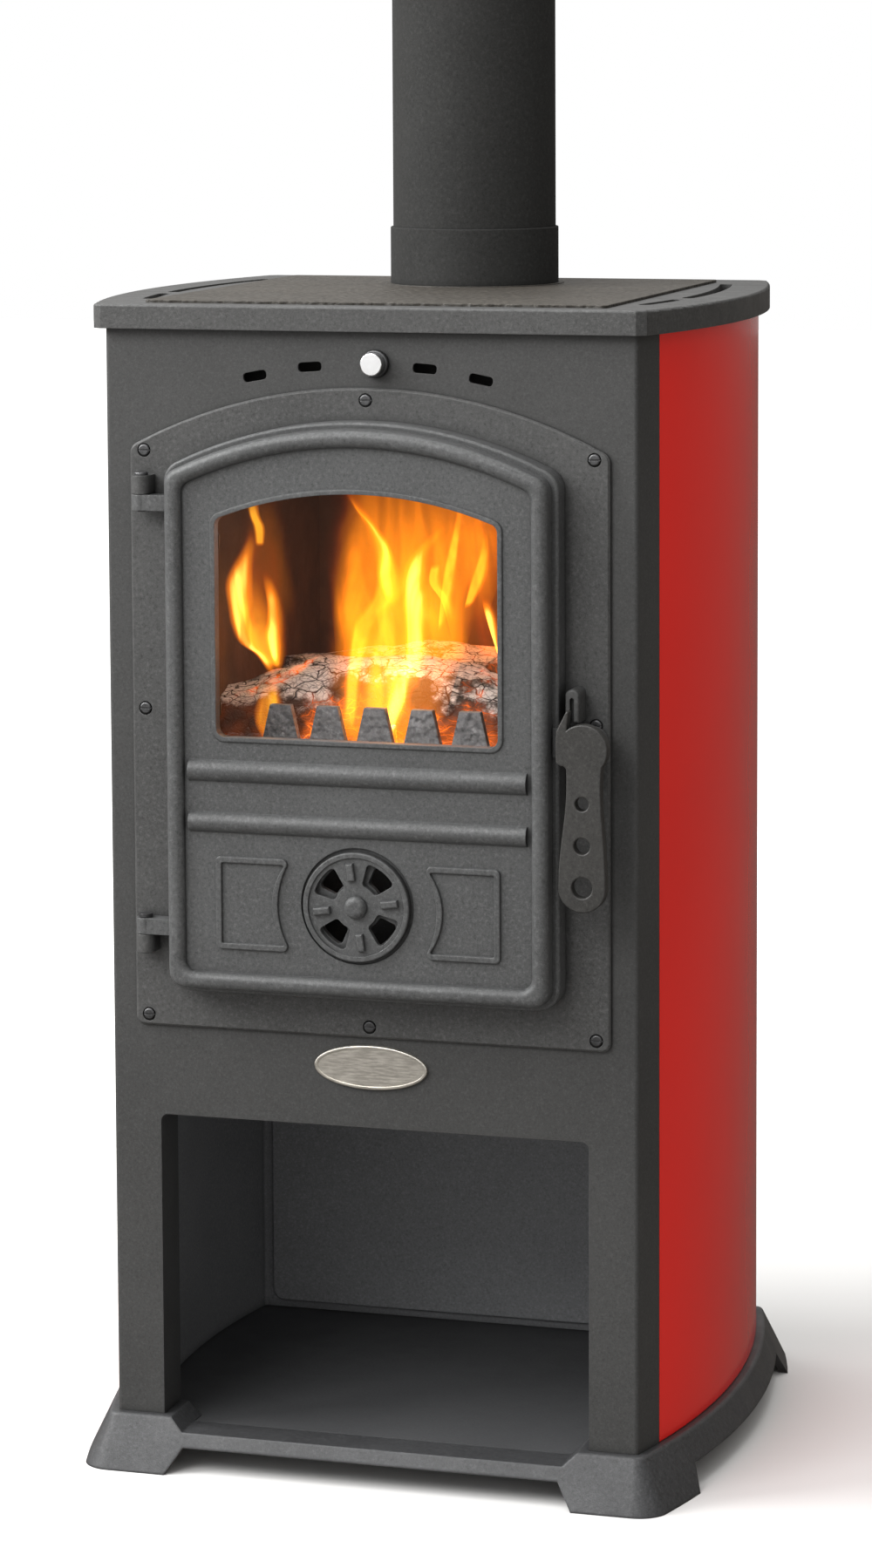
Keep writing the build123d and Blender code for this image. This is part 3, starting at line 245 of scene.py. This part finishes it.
def metal(name, colour, rough, grain, depth, stretch=(1, 1, 1)):
    """Bare or plated metal with drawn or tumbled grain."""
    s = Shader(name)
    along = s.stretched(*stretch)
    streak = s.span(s.noise(grain, 3, 0.6, at=along), 0.3, 0.7)
    base = s.mix(streak, scaled(colour, 0.85), scaled(colour, 1.08))
    soft = s.rounded(metal_edge)
    stain = s.span(s.noise(70, 4, 0.6), 0.5, 0.8)
    base = s.mix(s.math("MULTIPLY", stain, 0.25), base, scaled(colour, 0.6))
    shine = s.math("ADD", s.math("MULTIPLY", streak, 0.08), rough)
    s.set(Base_Color=base, Metallic=1.0, Roughness=shine)
    s.set(Normal=s.bump(s.noise(grain, 2, 0.6, at=along), depth, 0.8, soft))
    materials[name] = s.material


def sooty(name, colour, rough, pits, depth, ash_share=0.25):
    """A firebox surface: porous or raw-cast, with soot and pale ash lying in patches."""
    s = Shader(name)
    tone = s.span(s.noise(18, 5, 0.65), 0.3, 0.7)
    base = s.mix(tone, scaled(colour, 0.55), scaled(colour, 1.1))
    powder = s.span(s.noise(48, 6, 0.7), 0.52, 0.72)
    base = s.mix(s.math("MULTIPLY", powder, ash_share), base, pale_ash)
    soot = s.span(s.coordinate("Z"), 0.5, 0.72)
    base = s.mix(s.math("MULTIPLY", soot, 0.75), base, scaled(colour, 0.16))
    height = s.math("ADD", s.noise(pits, 4, 0.7), s.math("MULTIPLY", s.cells(pits * 0.4), 0.5))
    normal = s.bump(height, depth, 0.9, s.rounded(firebox_edge))
    s.set(Base_Color=base, Roughness=rough, Normal=normal)
    materials[name] = s.material


def fibre(name, colour):
    """Braided heat-proof cord."""
    s = Shader(name)
    strands = s.cells(900, "F1", at=s.stretched(1, 1, 0.5), spread=0.5)
    tone = s.span(s.noise(420, 3, 0.7), 0.3, 0.7)
    base = s.mix(tone, scaled(colour, 0.6), scaled(colour, 1.15))
    soil = s.span(s.noise(14, 4), 0.45, 0.75)
    base = s.mix(s.math("MULTIPLY", soil, 0.6), base, scaled(colour, 0.3))
    s.set(Base_Color=base, Roughness=0.95, Normal=s.bump(strands, 0.0004, 0.9))
    materials[name] = s.material


def glass(name, tint):
    """Clear glass-ceramic with a faint bloom of soot in its corners."""
    s = Shader(name)
    across = s.math("DIVIDE", s.math("ABSOLUTE", s.coordinate("X")), 0.105)
    height = s.span(s.coordinate("Z"), 0.60, 0.71)
    corner = s.math("MULTIPLY", s.math("MULTIPLY", across, across), height)
    veil = s.math("MULTIPLY", corner, s.span(s.noise(30, 5, 0.7), 0.25, 0.75))
    base = s.mix(veil, tint, (0.55, 0.42, 0.3))
    shine = s.math("ADD", s.math("MULTIPLY", veil, 0.18), 0.015)
    s.set(Base_Color=base, Roughness=shine, Transmission_Weight=1.0, IOR=1.47)
    # Light reaches the firebox through the pane.
    clear = s.node("ShaderNodeBsdfTransparent", {"Color": (0.85, 0.85, 0.85, 1)})
    shadow_ray = s.node("ShaderNodeLightPath").outputs["Is Shadow Ray"]
    both = s.node("ShaderNodeMixShader", {"Fac": shadow_ray})
    s.put(both.inputs[1], s.surface.outputs[0])
    s.put(both.inputs[2], clear.outputs[0])
    s.put(s.tree.nodes["Material Output"].inputs["Surface"], both.outputs[0])
    materials[name] = s.material


cast("cast_body", (0.050, 0.050, 0.049), 0.47, 900, 0.00016)
# The plinth: a darker copy of the cast paint, as painted shade, with wide painted highlights on its
# edges.
cast("cast_plinth_shade_and_highlight", (0.040, 0.0405, 0.042), 0.42, 900, 0.00016, wear_and_highlight=0.9, edge=plinth_edge)
cast("cast_door", (0.061, 0.062, 0.062), 0.47, 900, 0.00016, wear_and_highlight=0.4)
cast("cast_hob", (0.038, 0.033, 0.026), 0.6, 700, 0.0003, lumps=0.0016)
cast("lever_metal", (0.030, 0.029, 0.027), 0.42, 1000, 0.0001, wear_and_highlight=0.6)
sheet_paint("front_paint", (0.042, 0.042, 0.041), 0.48)
sheet_paint("dark_paint", (0.032, 0.032, 0.031), 0.55)
# The store's black liner is painted much lighter, as painted light in its recess; its floor takes a
# copy lightened less, also painted light.
sheet_paint("store_sheet", (0.19, 0.193, 0.20), 0.5)
sheet_paint("store_floor_painted_light", (0.060, 0.061, 0.063), 0.5)
sheet_paint("flue_paint", (0.026, 0.026, 0.025), 0.8, grain=900, specular=0.15)
enamel("red_enamel", (0.86, 0.010, 0.005))
sooty("fire_steel", (0.07, 0.066, 0.06), 0.8, 300, 0.0003)
sooty("fire_iron", (0.13, 0.12, 0.11), 0.75, 420, 0.0004, ash_share=0.5)
sooty("firebrick", (0.11, 0.062, 0.036), 0.92, 260, 0.0008, ash_share=0.05)
cast("fence_iron", (0.165, 0.170, 0.182), 0.6, 420, 0.0005, wear_and_highlight=0.2, lumps=0.0022)
fibre("fibre_rope", (0.34, 0.33, 0.31))
glass("stove_glass", (0.97, 0.95, 0.92))
metal("dark_steel", (0.11, 0.11, 0.112), 0.42, 600, 0.00005)
metal("zinc_steel", (0.45, 0.45, 0.44), 0.38, 500, 0.00005)
metal("chrome_knob", (0.92, 0.92, 0.92), 0.12, 300, 0.00001)
metal("badge_metal", (0.80, 0.76, 0.68), 0.36, 700, 0.00003, stretch=(0.12, 1, 1))

# Each node's material is its slot's, but for three that the photo shows in a tone of their own: the
# store's floor takes a copy of the black paint lightened less than the liner, as painted light; the
# plinth a darker copy of the cast paint, as painted shade, with painted edge highlights; the log
# fence a lighter grey iron.
slot_of = {row["node"]: row["material_slot"] for row in frame["record"]["subparts"]}
slot_of["store_floor"] = "store_floor_painted_light"
slot_of["log_fence"] = "fence_iron"
slot_of["base_plinth"] = "cast_plinth_shade_and_highlight"
for name, node in nodes.items():
    if not node.material_slots:
        node.data.materials.append(None)
    for place in node.material_slots:
        place.material = materials[slot_of[name]]

# ---------------------------------------------------------------- stage: floor, light and camera


def stage_mesh(name, vertices, faces, material):
    """A smooth-shaded mesh that dresses the stage and is no part of the stove."""
    mesh = bpy.data.meshes.new(name)
    mesh.from_pydata(vertices, [], faces)
    mesh.update()
    for face in mesh.polygons:
        face.use_smooth = True
    mesh.materials.append(material)
    new = bpy.data.objects.new(name, mesh)
    bpy.context.scene.collection.objects.link(new)
    return new


floor_shader = Shader("pale_floor")
floor_tone = floor_shader.span(floor_shader.noise(2.2, 3), 0.3, 0.7)
floor_path = floor_shader.node("ShaderNodeLightPath")
floor_base = floor_shader.mix(floor_tone, (0.74, 0.73, 0.715), (0.77, 0.765, 0.755))
# The light that it throws back onto the stove is held down, as on a studio's set.
floor_base = floor_shader.mix(floor_path.outputs["Is Diffuse Ray"], floor_base, (0.38, 0.37, 0.36))
floor_shader.set(Base_Color=floor_base, Roughness=0.6, Specular_IOR_Level=0.2)
away = floor_shader.node("ShaderNodeVectorMath", {0: floor_shader.coords}, operation="LENGTH")
far_glow = floor_shader.span(away.outputs["Value"], 0.35, 1.7, 0.0, 0.7)
seen_glow = floor_shader.math("MULTIPLY", far_glow, floor_path.outputs["Is Camera Ray"])
floor_shader.set(Emission_Color=(1, 1, 1, 1), Emission_Strength=seen_glow)
# Seen in the enamel, the floor is as dim as a studio's unlit part; far in front it is bright.
ahead = floor_shader.span(floor_shader.coordinate("Y"), -8.0, -9.5)
dim_floor = floor_shader.node("ShaderNodeEmission", {
    "Color": floor_shader.mix(ahead, unlit_studio, (2.1, 2.1, 2.1)), "Strength": 1.0
})
floor_mix = floor_shader.node("ShaderNodeMixShader", {"Fac": floor_path.outputs["Is Glossy Ray"]})
floor_shader.put(floor_mix.inputs[1], floor_shader.surface.outputs[0])
floor_shader.put(floor_mix.inputs[2], dim_floor.outputs[0])
floor_shader.put(
    floor_shader.tree.nodes["Material Output"].inputs["Surface"], floor_mix.outputs[0]
)
floor_half = 12.0
floor_corners = [(-1, -1), (1, -1), (1, 1), (-1, 1)]
stage_mesh(
    "floor", [(x * floor_half, y * floor_half, 0) for x, y in floor_corners],
    [(0, 1, 2, 3)], floor_shader.material,
)

# A studio that is bright to the front and left, dim and warm to the right and behind,
# with a white backdrop.
world = bpy.data.worlds.new("studio")
world.use_nodes = True
bpy.context.scene.world = world
world_tree = world.node_tree


def world_node(kind, links=(), **settings):
    new = world_tree.nodes.new(kind)
    for key, value in settings.items():
        setattr(new, key, value)
    for key, source in dict(links).items():
        world_tree.links.new(source, new.inputs[key])
    return new


direction = world_node("ShaderNodeTexCoord").outputs["Generated"]
facing = world_node("ShaderNodeVectorMath", {0: direction}, operation="DOT_PRODUCT")
facing.inputs[1].default_value = Vector((-0.72, -0.55, 0.42)).normalized()
ramp = world_node("ShaderNodeValToRGB")
side_value = world_node("ShaderNodeMapRange", {"Value": facing.outputs["Value"]})
side_value.inputs["From Min"].default_value = -0.9
side_value.inputs["From Max"].default_value = 0.9
world_tree.links.new(side_value.outputs["Result"], ramp.inputs["Fac"])
ramp.color_ramp.elements[0].color = (*unlit_studio, 1)
ramp.color_ramp.elements[1].color = (*lit_studio, 1)
seen_direct = world_node("ShaderNodeLightPath").outputs["Is Camera Ray"]
shade = world_node("ShaderNodeMix", data_type="RGBA")
world_tree.links.new(seen_direct, shade.inputs[0])
world_tree.links.new(ramp.outputs["Color"], shade.inputs[6])
shade.inputs[7].default_value = (1, 1, 1, 1)
world_tree.links.new(shade.outputs[2], world_tree.nodes["Background"].inputs["Color"])


def softbox(name, place, aim, width, height, power):
    """A white rectangular area light that faces a point."""
    light = bpy.data.lights.new(name, "AREA")
    light.shape = "RECTANGLE"
    light.size = width
    light.size_y = height
    light.energy = power
    new = bpy.data.objects.new(name, light)
    new.location = place
    new.rotation_euler = (Vector(aim) - Vector(place)).to_track_quat("-Z", "Y").to_euler()
    bpy.context.scene.collection.objects.link(new)


softbox("key", (-2.7, -1.1, 2.4), (0, 0, 0.5), 1.8, 1.8, 132)
softbox("front", (-1.4, -3.2, 3.0), (0, 0, 0.7), 2.4, 1.8, 96)
softbox("top", (-0.3, 0.2, 3.4), (0, 0, 0), 2.4, 2.4, 60)

# The camera stands to the right of the stove's middle, above the hob, and looks slightly down.
camera_place = (0.9061, -3.0546, 1.0059)
camera_lens = 101.57
camera_yaw = 0.2895
camera_pitch = 0.1
camera_roll = -0.0049
forward = Vector((
    -math.sin(camera_yaw) * math.cos(camera_pitch),
    math.cos(camera_yaw) * math.cos(camera_pitch),
    -math.sin(camera_pitch),
))
level = Vector((math.cos(camera_yaw), math.sin(camera_yaw), 0))
upright = level.cross(forward)
right = level * math.cos(camera_roll) + upright * math.sin(camera_roll)
up = upright * math.cos(camera_roll) - level * math.sin(camera_roll)
camera_data = bpy.data.cameras.new("camera")
camera_data.sensor_fit = "AUTO"
camera_data.sensor_width = 36.0
camera_data.lens = camera_lens
camera_data.shift_y = -0.1906
camera_data.clip_end = 100
camera = bpy.data.objects.new("camera", camera_data)
camera.matrix_world = Matrix.Translation(camera_place) @ Matrix(
    (right, up, -forward)
).transposed().to_4x4()
bpy.context.scene.collection.objects.link(camera)
bpy.context.scene.camera = camera
bpy.context.scene.view_settings.view_transform = "Standard"
bpy.context.scene.view_settings.look = "None"

# ---------------------------------------------------------------- stage: the fire behind the glass

front_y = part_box("front_panel")[0][1]
embers_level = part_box("grate")[1][2]


def at(x, depth, z):
    """A point at a depth behind the front panel's face."""
    return Vector((x, front_y + depth, z))


def smooth_line(points, steps):
    """Points on a Catmull-Rom line through the given vectors."""
    ends = [2 * points[0] - points[1], *points, 2 * points[-1] - points[-2]]
    line = []
    for a, b, c, d in zip(ends, ends[1:], ends[2:], ends[3:]):
        for step in range(steps):
            t = step / steps
            line.append(
                0.5 * (2 * b + (c - a) * t + (2 * a - 5 * b + 4 * c - d) * t**2
                       + (3 * b - 3 * c + d - a) * t**3)
            )
    line.append(points[-1])
    return line


def log_shader(name, char, glow):
    """A burnt log: pale crazed ash above, black char below, and glowing cracks."""
    s = Shader(name)
    drift = s.node("ShaderNodeTexNoise", {"Vector": s.coords, "Scale": 45.0, "Detail": 3.0})
    bent = s.node("ShaderNodeVectorMath", {0: drift.outputs["Color"]}, operation="SCALE")
    bent.inputs["Scale"].default_value = 0.016
    warped = s.node(
        "ShaderNodeVectorMath", {0: s.stretched(0.6, 1, 1.2), 1: bent.outputs[0]}, operation="ADD"
    ).outputs[0]
    wide = s.cells(105, "DISTANCE_TO_EDGE", at=warped)
    fine = s.cells(300, "DISTANCE_TO_EDGE", at=warped)
    crack = s.math("MULTIPLY", s.span(wide, 0.0, 0.055), s.span(fine, 0.0, 0.10, 0.5, 1.0))
    upward = s.node("ShaderNodeSeparateXYZ", {
        "Vector": s.node("ShaderNodeNewGeometry").outputs["Normal"]
    }).outputs["Z"]
    patch = s.math("ADD", upward, s.math("MULTIPLY", s.noise(19, 5, 0.7), 2.6))
    ash = s.span(patch, 1.75 + char, 2.1 + char)
    base = s.mix(ash, charcoal, white_ash)
    base = s.mix(s.math("MULTIPLY", s.noise(300, 4, 0.8), 0.2), base, (0.20, 0.17, 0.16))
    base = s.mix(crack, (0.015, 0.012, 0.012), base)
    hot = s.math("MULTIPLY", s.span(s.noise(22, 3, 0.6), 0.5, 0.68), glow)
    hot = s.math("MULTIPLY", hot, s.span(crack, 0.15, 0.9, 1.0, 0.25))
    # The underside that faces the embers glows as a whole.
    low = s.span(s.coordinate("Z"), 0.548, 0.515)
    low = s.math("MULTIPLY", low, s.span(s.noise(13, 3), 0.42, 0.62))
    hot = s.math("ADD", hot, s.math("MULTIPLY", low, 0.12 * glow))
    height = s.math("ADD", s.math("MULTIPLY", crack, 1.4), s.noise(260, 4, 0.8))
    s.set(Base_Color=base, Roughness=0.95, Normal=s.bump(height, 0.0016, 0.9))
    s.set(Emission_Color=ember_orange, Emission_Strength=hot)
    return s.material


def log(name, points, radius, material, seed):
    """A rough round log swept along a line, with closed ends."""
    line = smooth_line(points, 14)
    around = 56
    vertices = []
    faces = []
    for index, centre in enumerate(line):
        ahead = line[min(index + 1, len(line) - 1)] - line[max(index - 1, 0)]
        turn = ahead.normalized().to_track_quat("X", "Z")
        for spoke in range(around):
            angle = 2 * math.pi * spoke / around
            out = turn @ Vector((0, math.cos(angle), math.sin(angle)))
            spot = centre + out * radius
            swell = noise.fractal(spot * 22 + Vector((seed, 0, 0)), 1.0, 2.2, 4) * 0.10
            facet = noise.cell(spot * 60 + Vector((seed, 3, 1))) * 0.03
            vertices.append(centre + out * radius * (1 + swell + facet))
    rings = len(line)
    for ring in range(rings - 1):
        for spoke in range(around):
            after = (spoke + 1) % around
            faces.append((
                ring * around + spoke, (ring + 1) * around + spoke,
                (ring + 1) * around + after, ring * around + after,
            ))
    faces.append(tuple(range(around)))
    faces.append(tuple(range((rings - 1) * around, rings * around))[::-1])
    return stage_mesh(name, vertices, faces, material)


pale_log = log_shader("log_ash", 0.0, 2.2)
dark_log = log_shader("log_char", 0.35, 3.0)
ember_coal = log_shader("ember_coal", 0.1, 9.0)
log("log_front", [at(-0.134, 0.096, 0.504), at(-0.080, 0.104, 0.526), at(-0.020, 0.106, 0.531),
                  at(0.045, 0.104, 0.525), at(0.108, 0.094, 0.502)], 0.040, pale_log, 1.0)
log("log_rear", [at(-0.120, 0.190, 0.520), at(0.0, 0.205, 0.530), at(0.120, 0.195, 0.518)],
    0.036, dark_log, 5.0)
log("log_side", [at(0.052, 0.072, 0.498), at(0.080, 0.110, 0.512), at(0.104, 0.170, 0.530)],
    0.026, pale_log, 9.0)
log("log_low", [at(-0.118, 0.074, 0.490), at(-0.04, 0.088, 0.492), at(0.045, 0.078, 0.490)],
    0.017, dark_log, 14.0)
coal_dice = random.Random(4)
for coal in range(26):
    x = coal_dice.uniform(-0.115, 0.105)
    depth = coal_dice.uniform(0.066, 0.085)
    z = embers_level + coal_dice.uniform(0.008, 0.045)
    size = coal_dice.uniform(0.006, 0.011)
    lean = coal_dice.uniform(-0.010, 0.010)
    log(f"coal_{coal:02d}", [at(x - size, depth, z), at(x + size, depth + lean, z + lean)],
        size * 0.8, ember_coal, 20.0 + coal)


def flame_shader(name, deep, heat, fill):
    """A sheet of flame that only adds light. Its UV runs -1..1 across and 0..1 upwards.

    `fill` is the half width of its even middle, as a share of the whole.
    """
    s = Shader(name)
    place = s.node("ShaderNodeUVMap", uv_map="flame").outputs["UV"]
    split = s.node("ShaderNodeSeparateXYZ", {"Vector": place})
    across = s.math("SUBTRACT", s.math("MULTIPLY", split.outputs["X"], 2.0), 1.0)
    rise = split.outputs["Y"]
    lick = s.noise(14, 2, 0.5, 0.6, at=s.stretched(1.5, 1, 0.5))
    sway = s.math("MULTIPLY", s.math("SUBTRACT", lick, 0.5), 1.1)
    offset = s.math("ABSOLUTE", s.math("ADD", across, sway))
    body = s.span(offset, 1.0, fill)
    ends = s.math("MULTIPLY", s.span(rise, 0.0, 0.10), s.span(rise, 1.0, 0.6))
    veins = s.noise(20, 2, 0.5, 1.6, at=s.stretched(1.8, 1, 0.4))
    thread = s.span(veins, 0.34, 0.66, 0.68, 1.12)
    power = s.math("MULTIPLY", s.math("MULTIPLY", body, ends), thread)
    edge = s.span(power, 0.0, 0.30)
    core = s.span(power, 0.45, 1.0)
    tint = s.mix(edge, (0.9, 0.07, 0.0), (1.0, 0.24, 0.004))
    tint = s.mix(core, tint, deep)
    light = s.node("ShaderNodeEmission", {
        "Color": tint, "Strength": s.math("MULTIPLY", s.math("POWER", power, 1.35), heat)
    })
    clear = s.node("ShaderNodeBsdfTransparent")
    both = s.node("ShaderNodeAddShader")
    s.put(both.inputs[0], light.outputs[0])
    s.put(both.inputs[1], clear.outputs[0])
    s.put(s.tree.nodes["Material Output"].inputs["Surface"], both.outputs[0])
    return s.material


dim_flame = flame_shader("flame_dim", (0.9, 0.12, 0.002), 0.30, 0.2)
glow_flame = flame_shader("flame_glow", (1.0, 0.25, 0.006), 1.0, 0.5)
soft_flame = flame_shader("flame_soft", (1.0, 0.42, 0.02), 1.1, 0.3)
bright_flame = flame_shader("flame_bright", (1.0, 0.70, 0.10), 2.1, 0.05)


def flame(name, depth, spots, material):
    """A ribbon through (x, z, half width) spots, standing at a depth and slightly rippled."""
    line = smooth_line([Vector(spot) for spot in spots], 12)
    columns = 8
    vertices = []
    faces = []
    for x, z, half in line:
        for column in range(columns + 1):
            u = 2 * column / columns - 1
            ripple = 0.004 * math.sin(z * 60 + u * 2)
            vertices.append(at(x + u * half, depth + ripple - 0.006 * (1 - u * u), z))
    for row in range(len(line) - 1):
        for column in range(columns):
            corner = row * (columns + 1) + column
            faces.append((corner, corner + 1, corner + columns + 2, corner + columns + 1))
    sheet = stage_mesh(name, vertices, faces, material)
    uv = sheet.data.uv_layers.new(name="flame")
    for loop in sheet.data.loops:
        row, column = divmod(loop.vertex_index, columns + 1)
        uv.data[loop.index].uv = (column / columns, row / (len(line) - 1))
    sheet.visible_shadow = False
    return sheet


# Left pair of tongues, joined at their foot.
flame("flame_left_dim", 0.100, [
    (-0.108, 0.570, 0.020), (-0.110, 0.600, 0.026), (-0.112, 0.640, 0.022),
    (-0.112, 0.700, 0.020),
], dim_flame)
flame("flame_left", 0.080, [
    (-0.094, 0.555, 0.004), (-0.102, 0.571, 0.009), (-0.113, 0.580, 0.012),
    (-0.118, 0.592, 0.012), (-0.121, 0.607, 0.010), (-0.122, 0.623, 0.010),
    (-0.119, 0.637, 0.008), (-0.113, 0.653, 0.006), (-0.111, 0.668, 0.004),
], bright_flame)
flame("flame_left_body", 0.086, [
    (-0.094, 0.560, 0.006), (-0.102, 0.577, 0.020), (-0.110, 0.592, 0.021),
    (-0.116, 0.612, 0.014), (-0.116, 0.640, 0.008),
], soft_flame)
flame("flame_left_inner", 0.084, [
    (-0.094, 0.560, 0.004), (-0.096, 0.584, 0.011), (-0.095, 0.596, 0.009),
    (-0.096, 0.610, 0.006), (-0.099, 0.622, 0.004), (-0.103, 0.634, 0.002),
], bright_flame)
flame("flame_left_foot", 0.052, [
    (-0.083, 0.515, 0.010), (-0.088, 0.530, 0.012), (-0.088, 0.546, 0.010),
    (-0.085, 0.566, 0.004),
], soft_flame)
flame("flame_left_tail", 0.088, [
    (-0.108, 0.648, 0.003), (-0.109, 0.662, 0.006), (-0.113, 0.674, 0.006),
    (-0.114, 0.700, 0.005),
], soft_flame)
# The great middle flame: a wide glow, an orange body and a bright stem that forks.
flame("flame_middle_glow", 0.062, [
    (-0.010, 0.500, 0.036), (-0.008, 0.540, 0.046), (-0.002, 0.590, 0.056),
    (0.004, 0.640, 0.060), (0.008, 0.740, 0.062),
], glow_flame)
flame("flame_back_glow", 0.150, [
    (-0.020, 0.540, 0.050), (-0.016, 0.600, 0.060), (-0.006, 0.660, 0.070),
    (0.004, 0.740, 0.086),
], glow_flame)
flame("flame_stem", 0.058, [
    (-0.005, 0.508, 0.004), (-0.002, 0.530, 0.008), (0.006, 0.556, 0.013),
    (0.017, 0.584, 0.017), (0.021, 0.606, 0.017), (0.017, 0.632, 0.013),
    (0.021, 0.650, 0.009), (0.034, 0.665, 0.007), (0.046, 0.677, 0.004),
], bright_flame)
flame("flame_left_stem", 0.060, [
    (-0.036, 0.508, 0.003), (-0.032, 0.540, 0.006), (-0.029, 0.566, 0.009),
    (-0.020, 0.598, 0.012), (-0.002, 0.624, 0.012), (-0.005, 0.646, 0.009),
    (-0.012, 0.664, 0.008), (-0.024, 0.680, 0.008), (-0.036, 0.700, 0.008),
], soft_flame)
flame("flame_between", 0.061, [
    (-0.012, 0.525, 0.014), (-0.004, 0.565, 0.024), (0.006, 0.600, 0.026),
    (0.006, 0.630, 0.022), (0.002, 0.680, 0.016),
], soft_flame)
flame("flame_fork_left", 0.057, [
    (0.004, 0.612, 0.006), (-0.003, 0.634, 0.008), (-0.004, 0.652, 0.007),
    (-0.013, 0.668, 0.006), (-0.024, 0.682, 0.006), (-0.034, 0.700, 0.006),
], bright_flame)
# Thin licks to the right.
flame("flame_right_dim", 0.150, [
    (0.030, 0.560, 0.030), (0.036, 0.610, 0.036), (0.040, 0.660, 0.044),
    (0.044, 0.735, 0.050),
], dim_flame)
flame("flame_curl", 0.100, [
    (0.020, 0.640, 0.003), (0.019, 0.626, 0.004), (0.027, 0.614, 0.004),
    (0.031, 0.600, 0.004), (0.035, 0.574, 0.003),
], soft_flame)
flame("flame_right", 0.110, [
    (0.020, 0.588, 0.003), (0.024, 0.612, 0.004), (0.028, 0.640, 0.004),
    (0.034, 0.672, 0.004), (0.040, 0.710, 0.004),
], soft_flame)
flame("flame_far_right", 0.110, [
    (0.040, 0.606, 0.002), (0.047, 0.626, 0.005), (0.052, 0.645, 0.004),
    (0.054, 0.668, 0.002),
], soft_flame)
flame("flame_corner", 0.070, [
    (0.076, 0.575, 0.002), (0.072, 0.592, 0.004), (0.068, 0.608, 0.004),
    (0.064, 0.622, 0.002),
], bright_flame)


def fire_light(name, place, power, colour):
    """A small round light inside the firebox."""
    light = bpy.data.lights.new(name, "POINT")
    light.energy = power
    light.color = colour
    light.shadow_soft_size = 0.012
    new = bpy.data.objects.new(name, light)
    new.location = place
    new.visible_camera = False
    new.visible_transmission = False
    bpy.context.scene.collection.objects.link(new)


fire_light("fire_high", at(0.03, 0.17, 0.63), 0.30, (1.0, 0.28, 0.04))
fire_light("fire_low", at(0.0, 0.075, 0.56), 0.10, (1.0, 0.42, 0.12))
fire_light("log_light", at(-0.02, 0.010, 0.713), 0.45, (1.0, 0.90, 0.84))
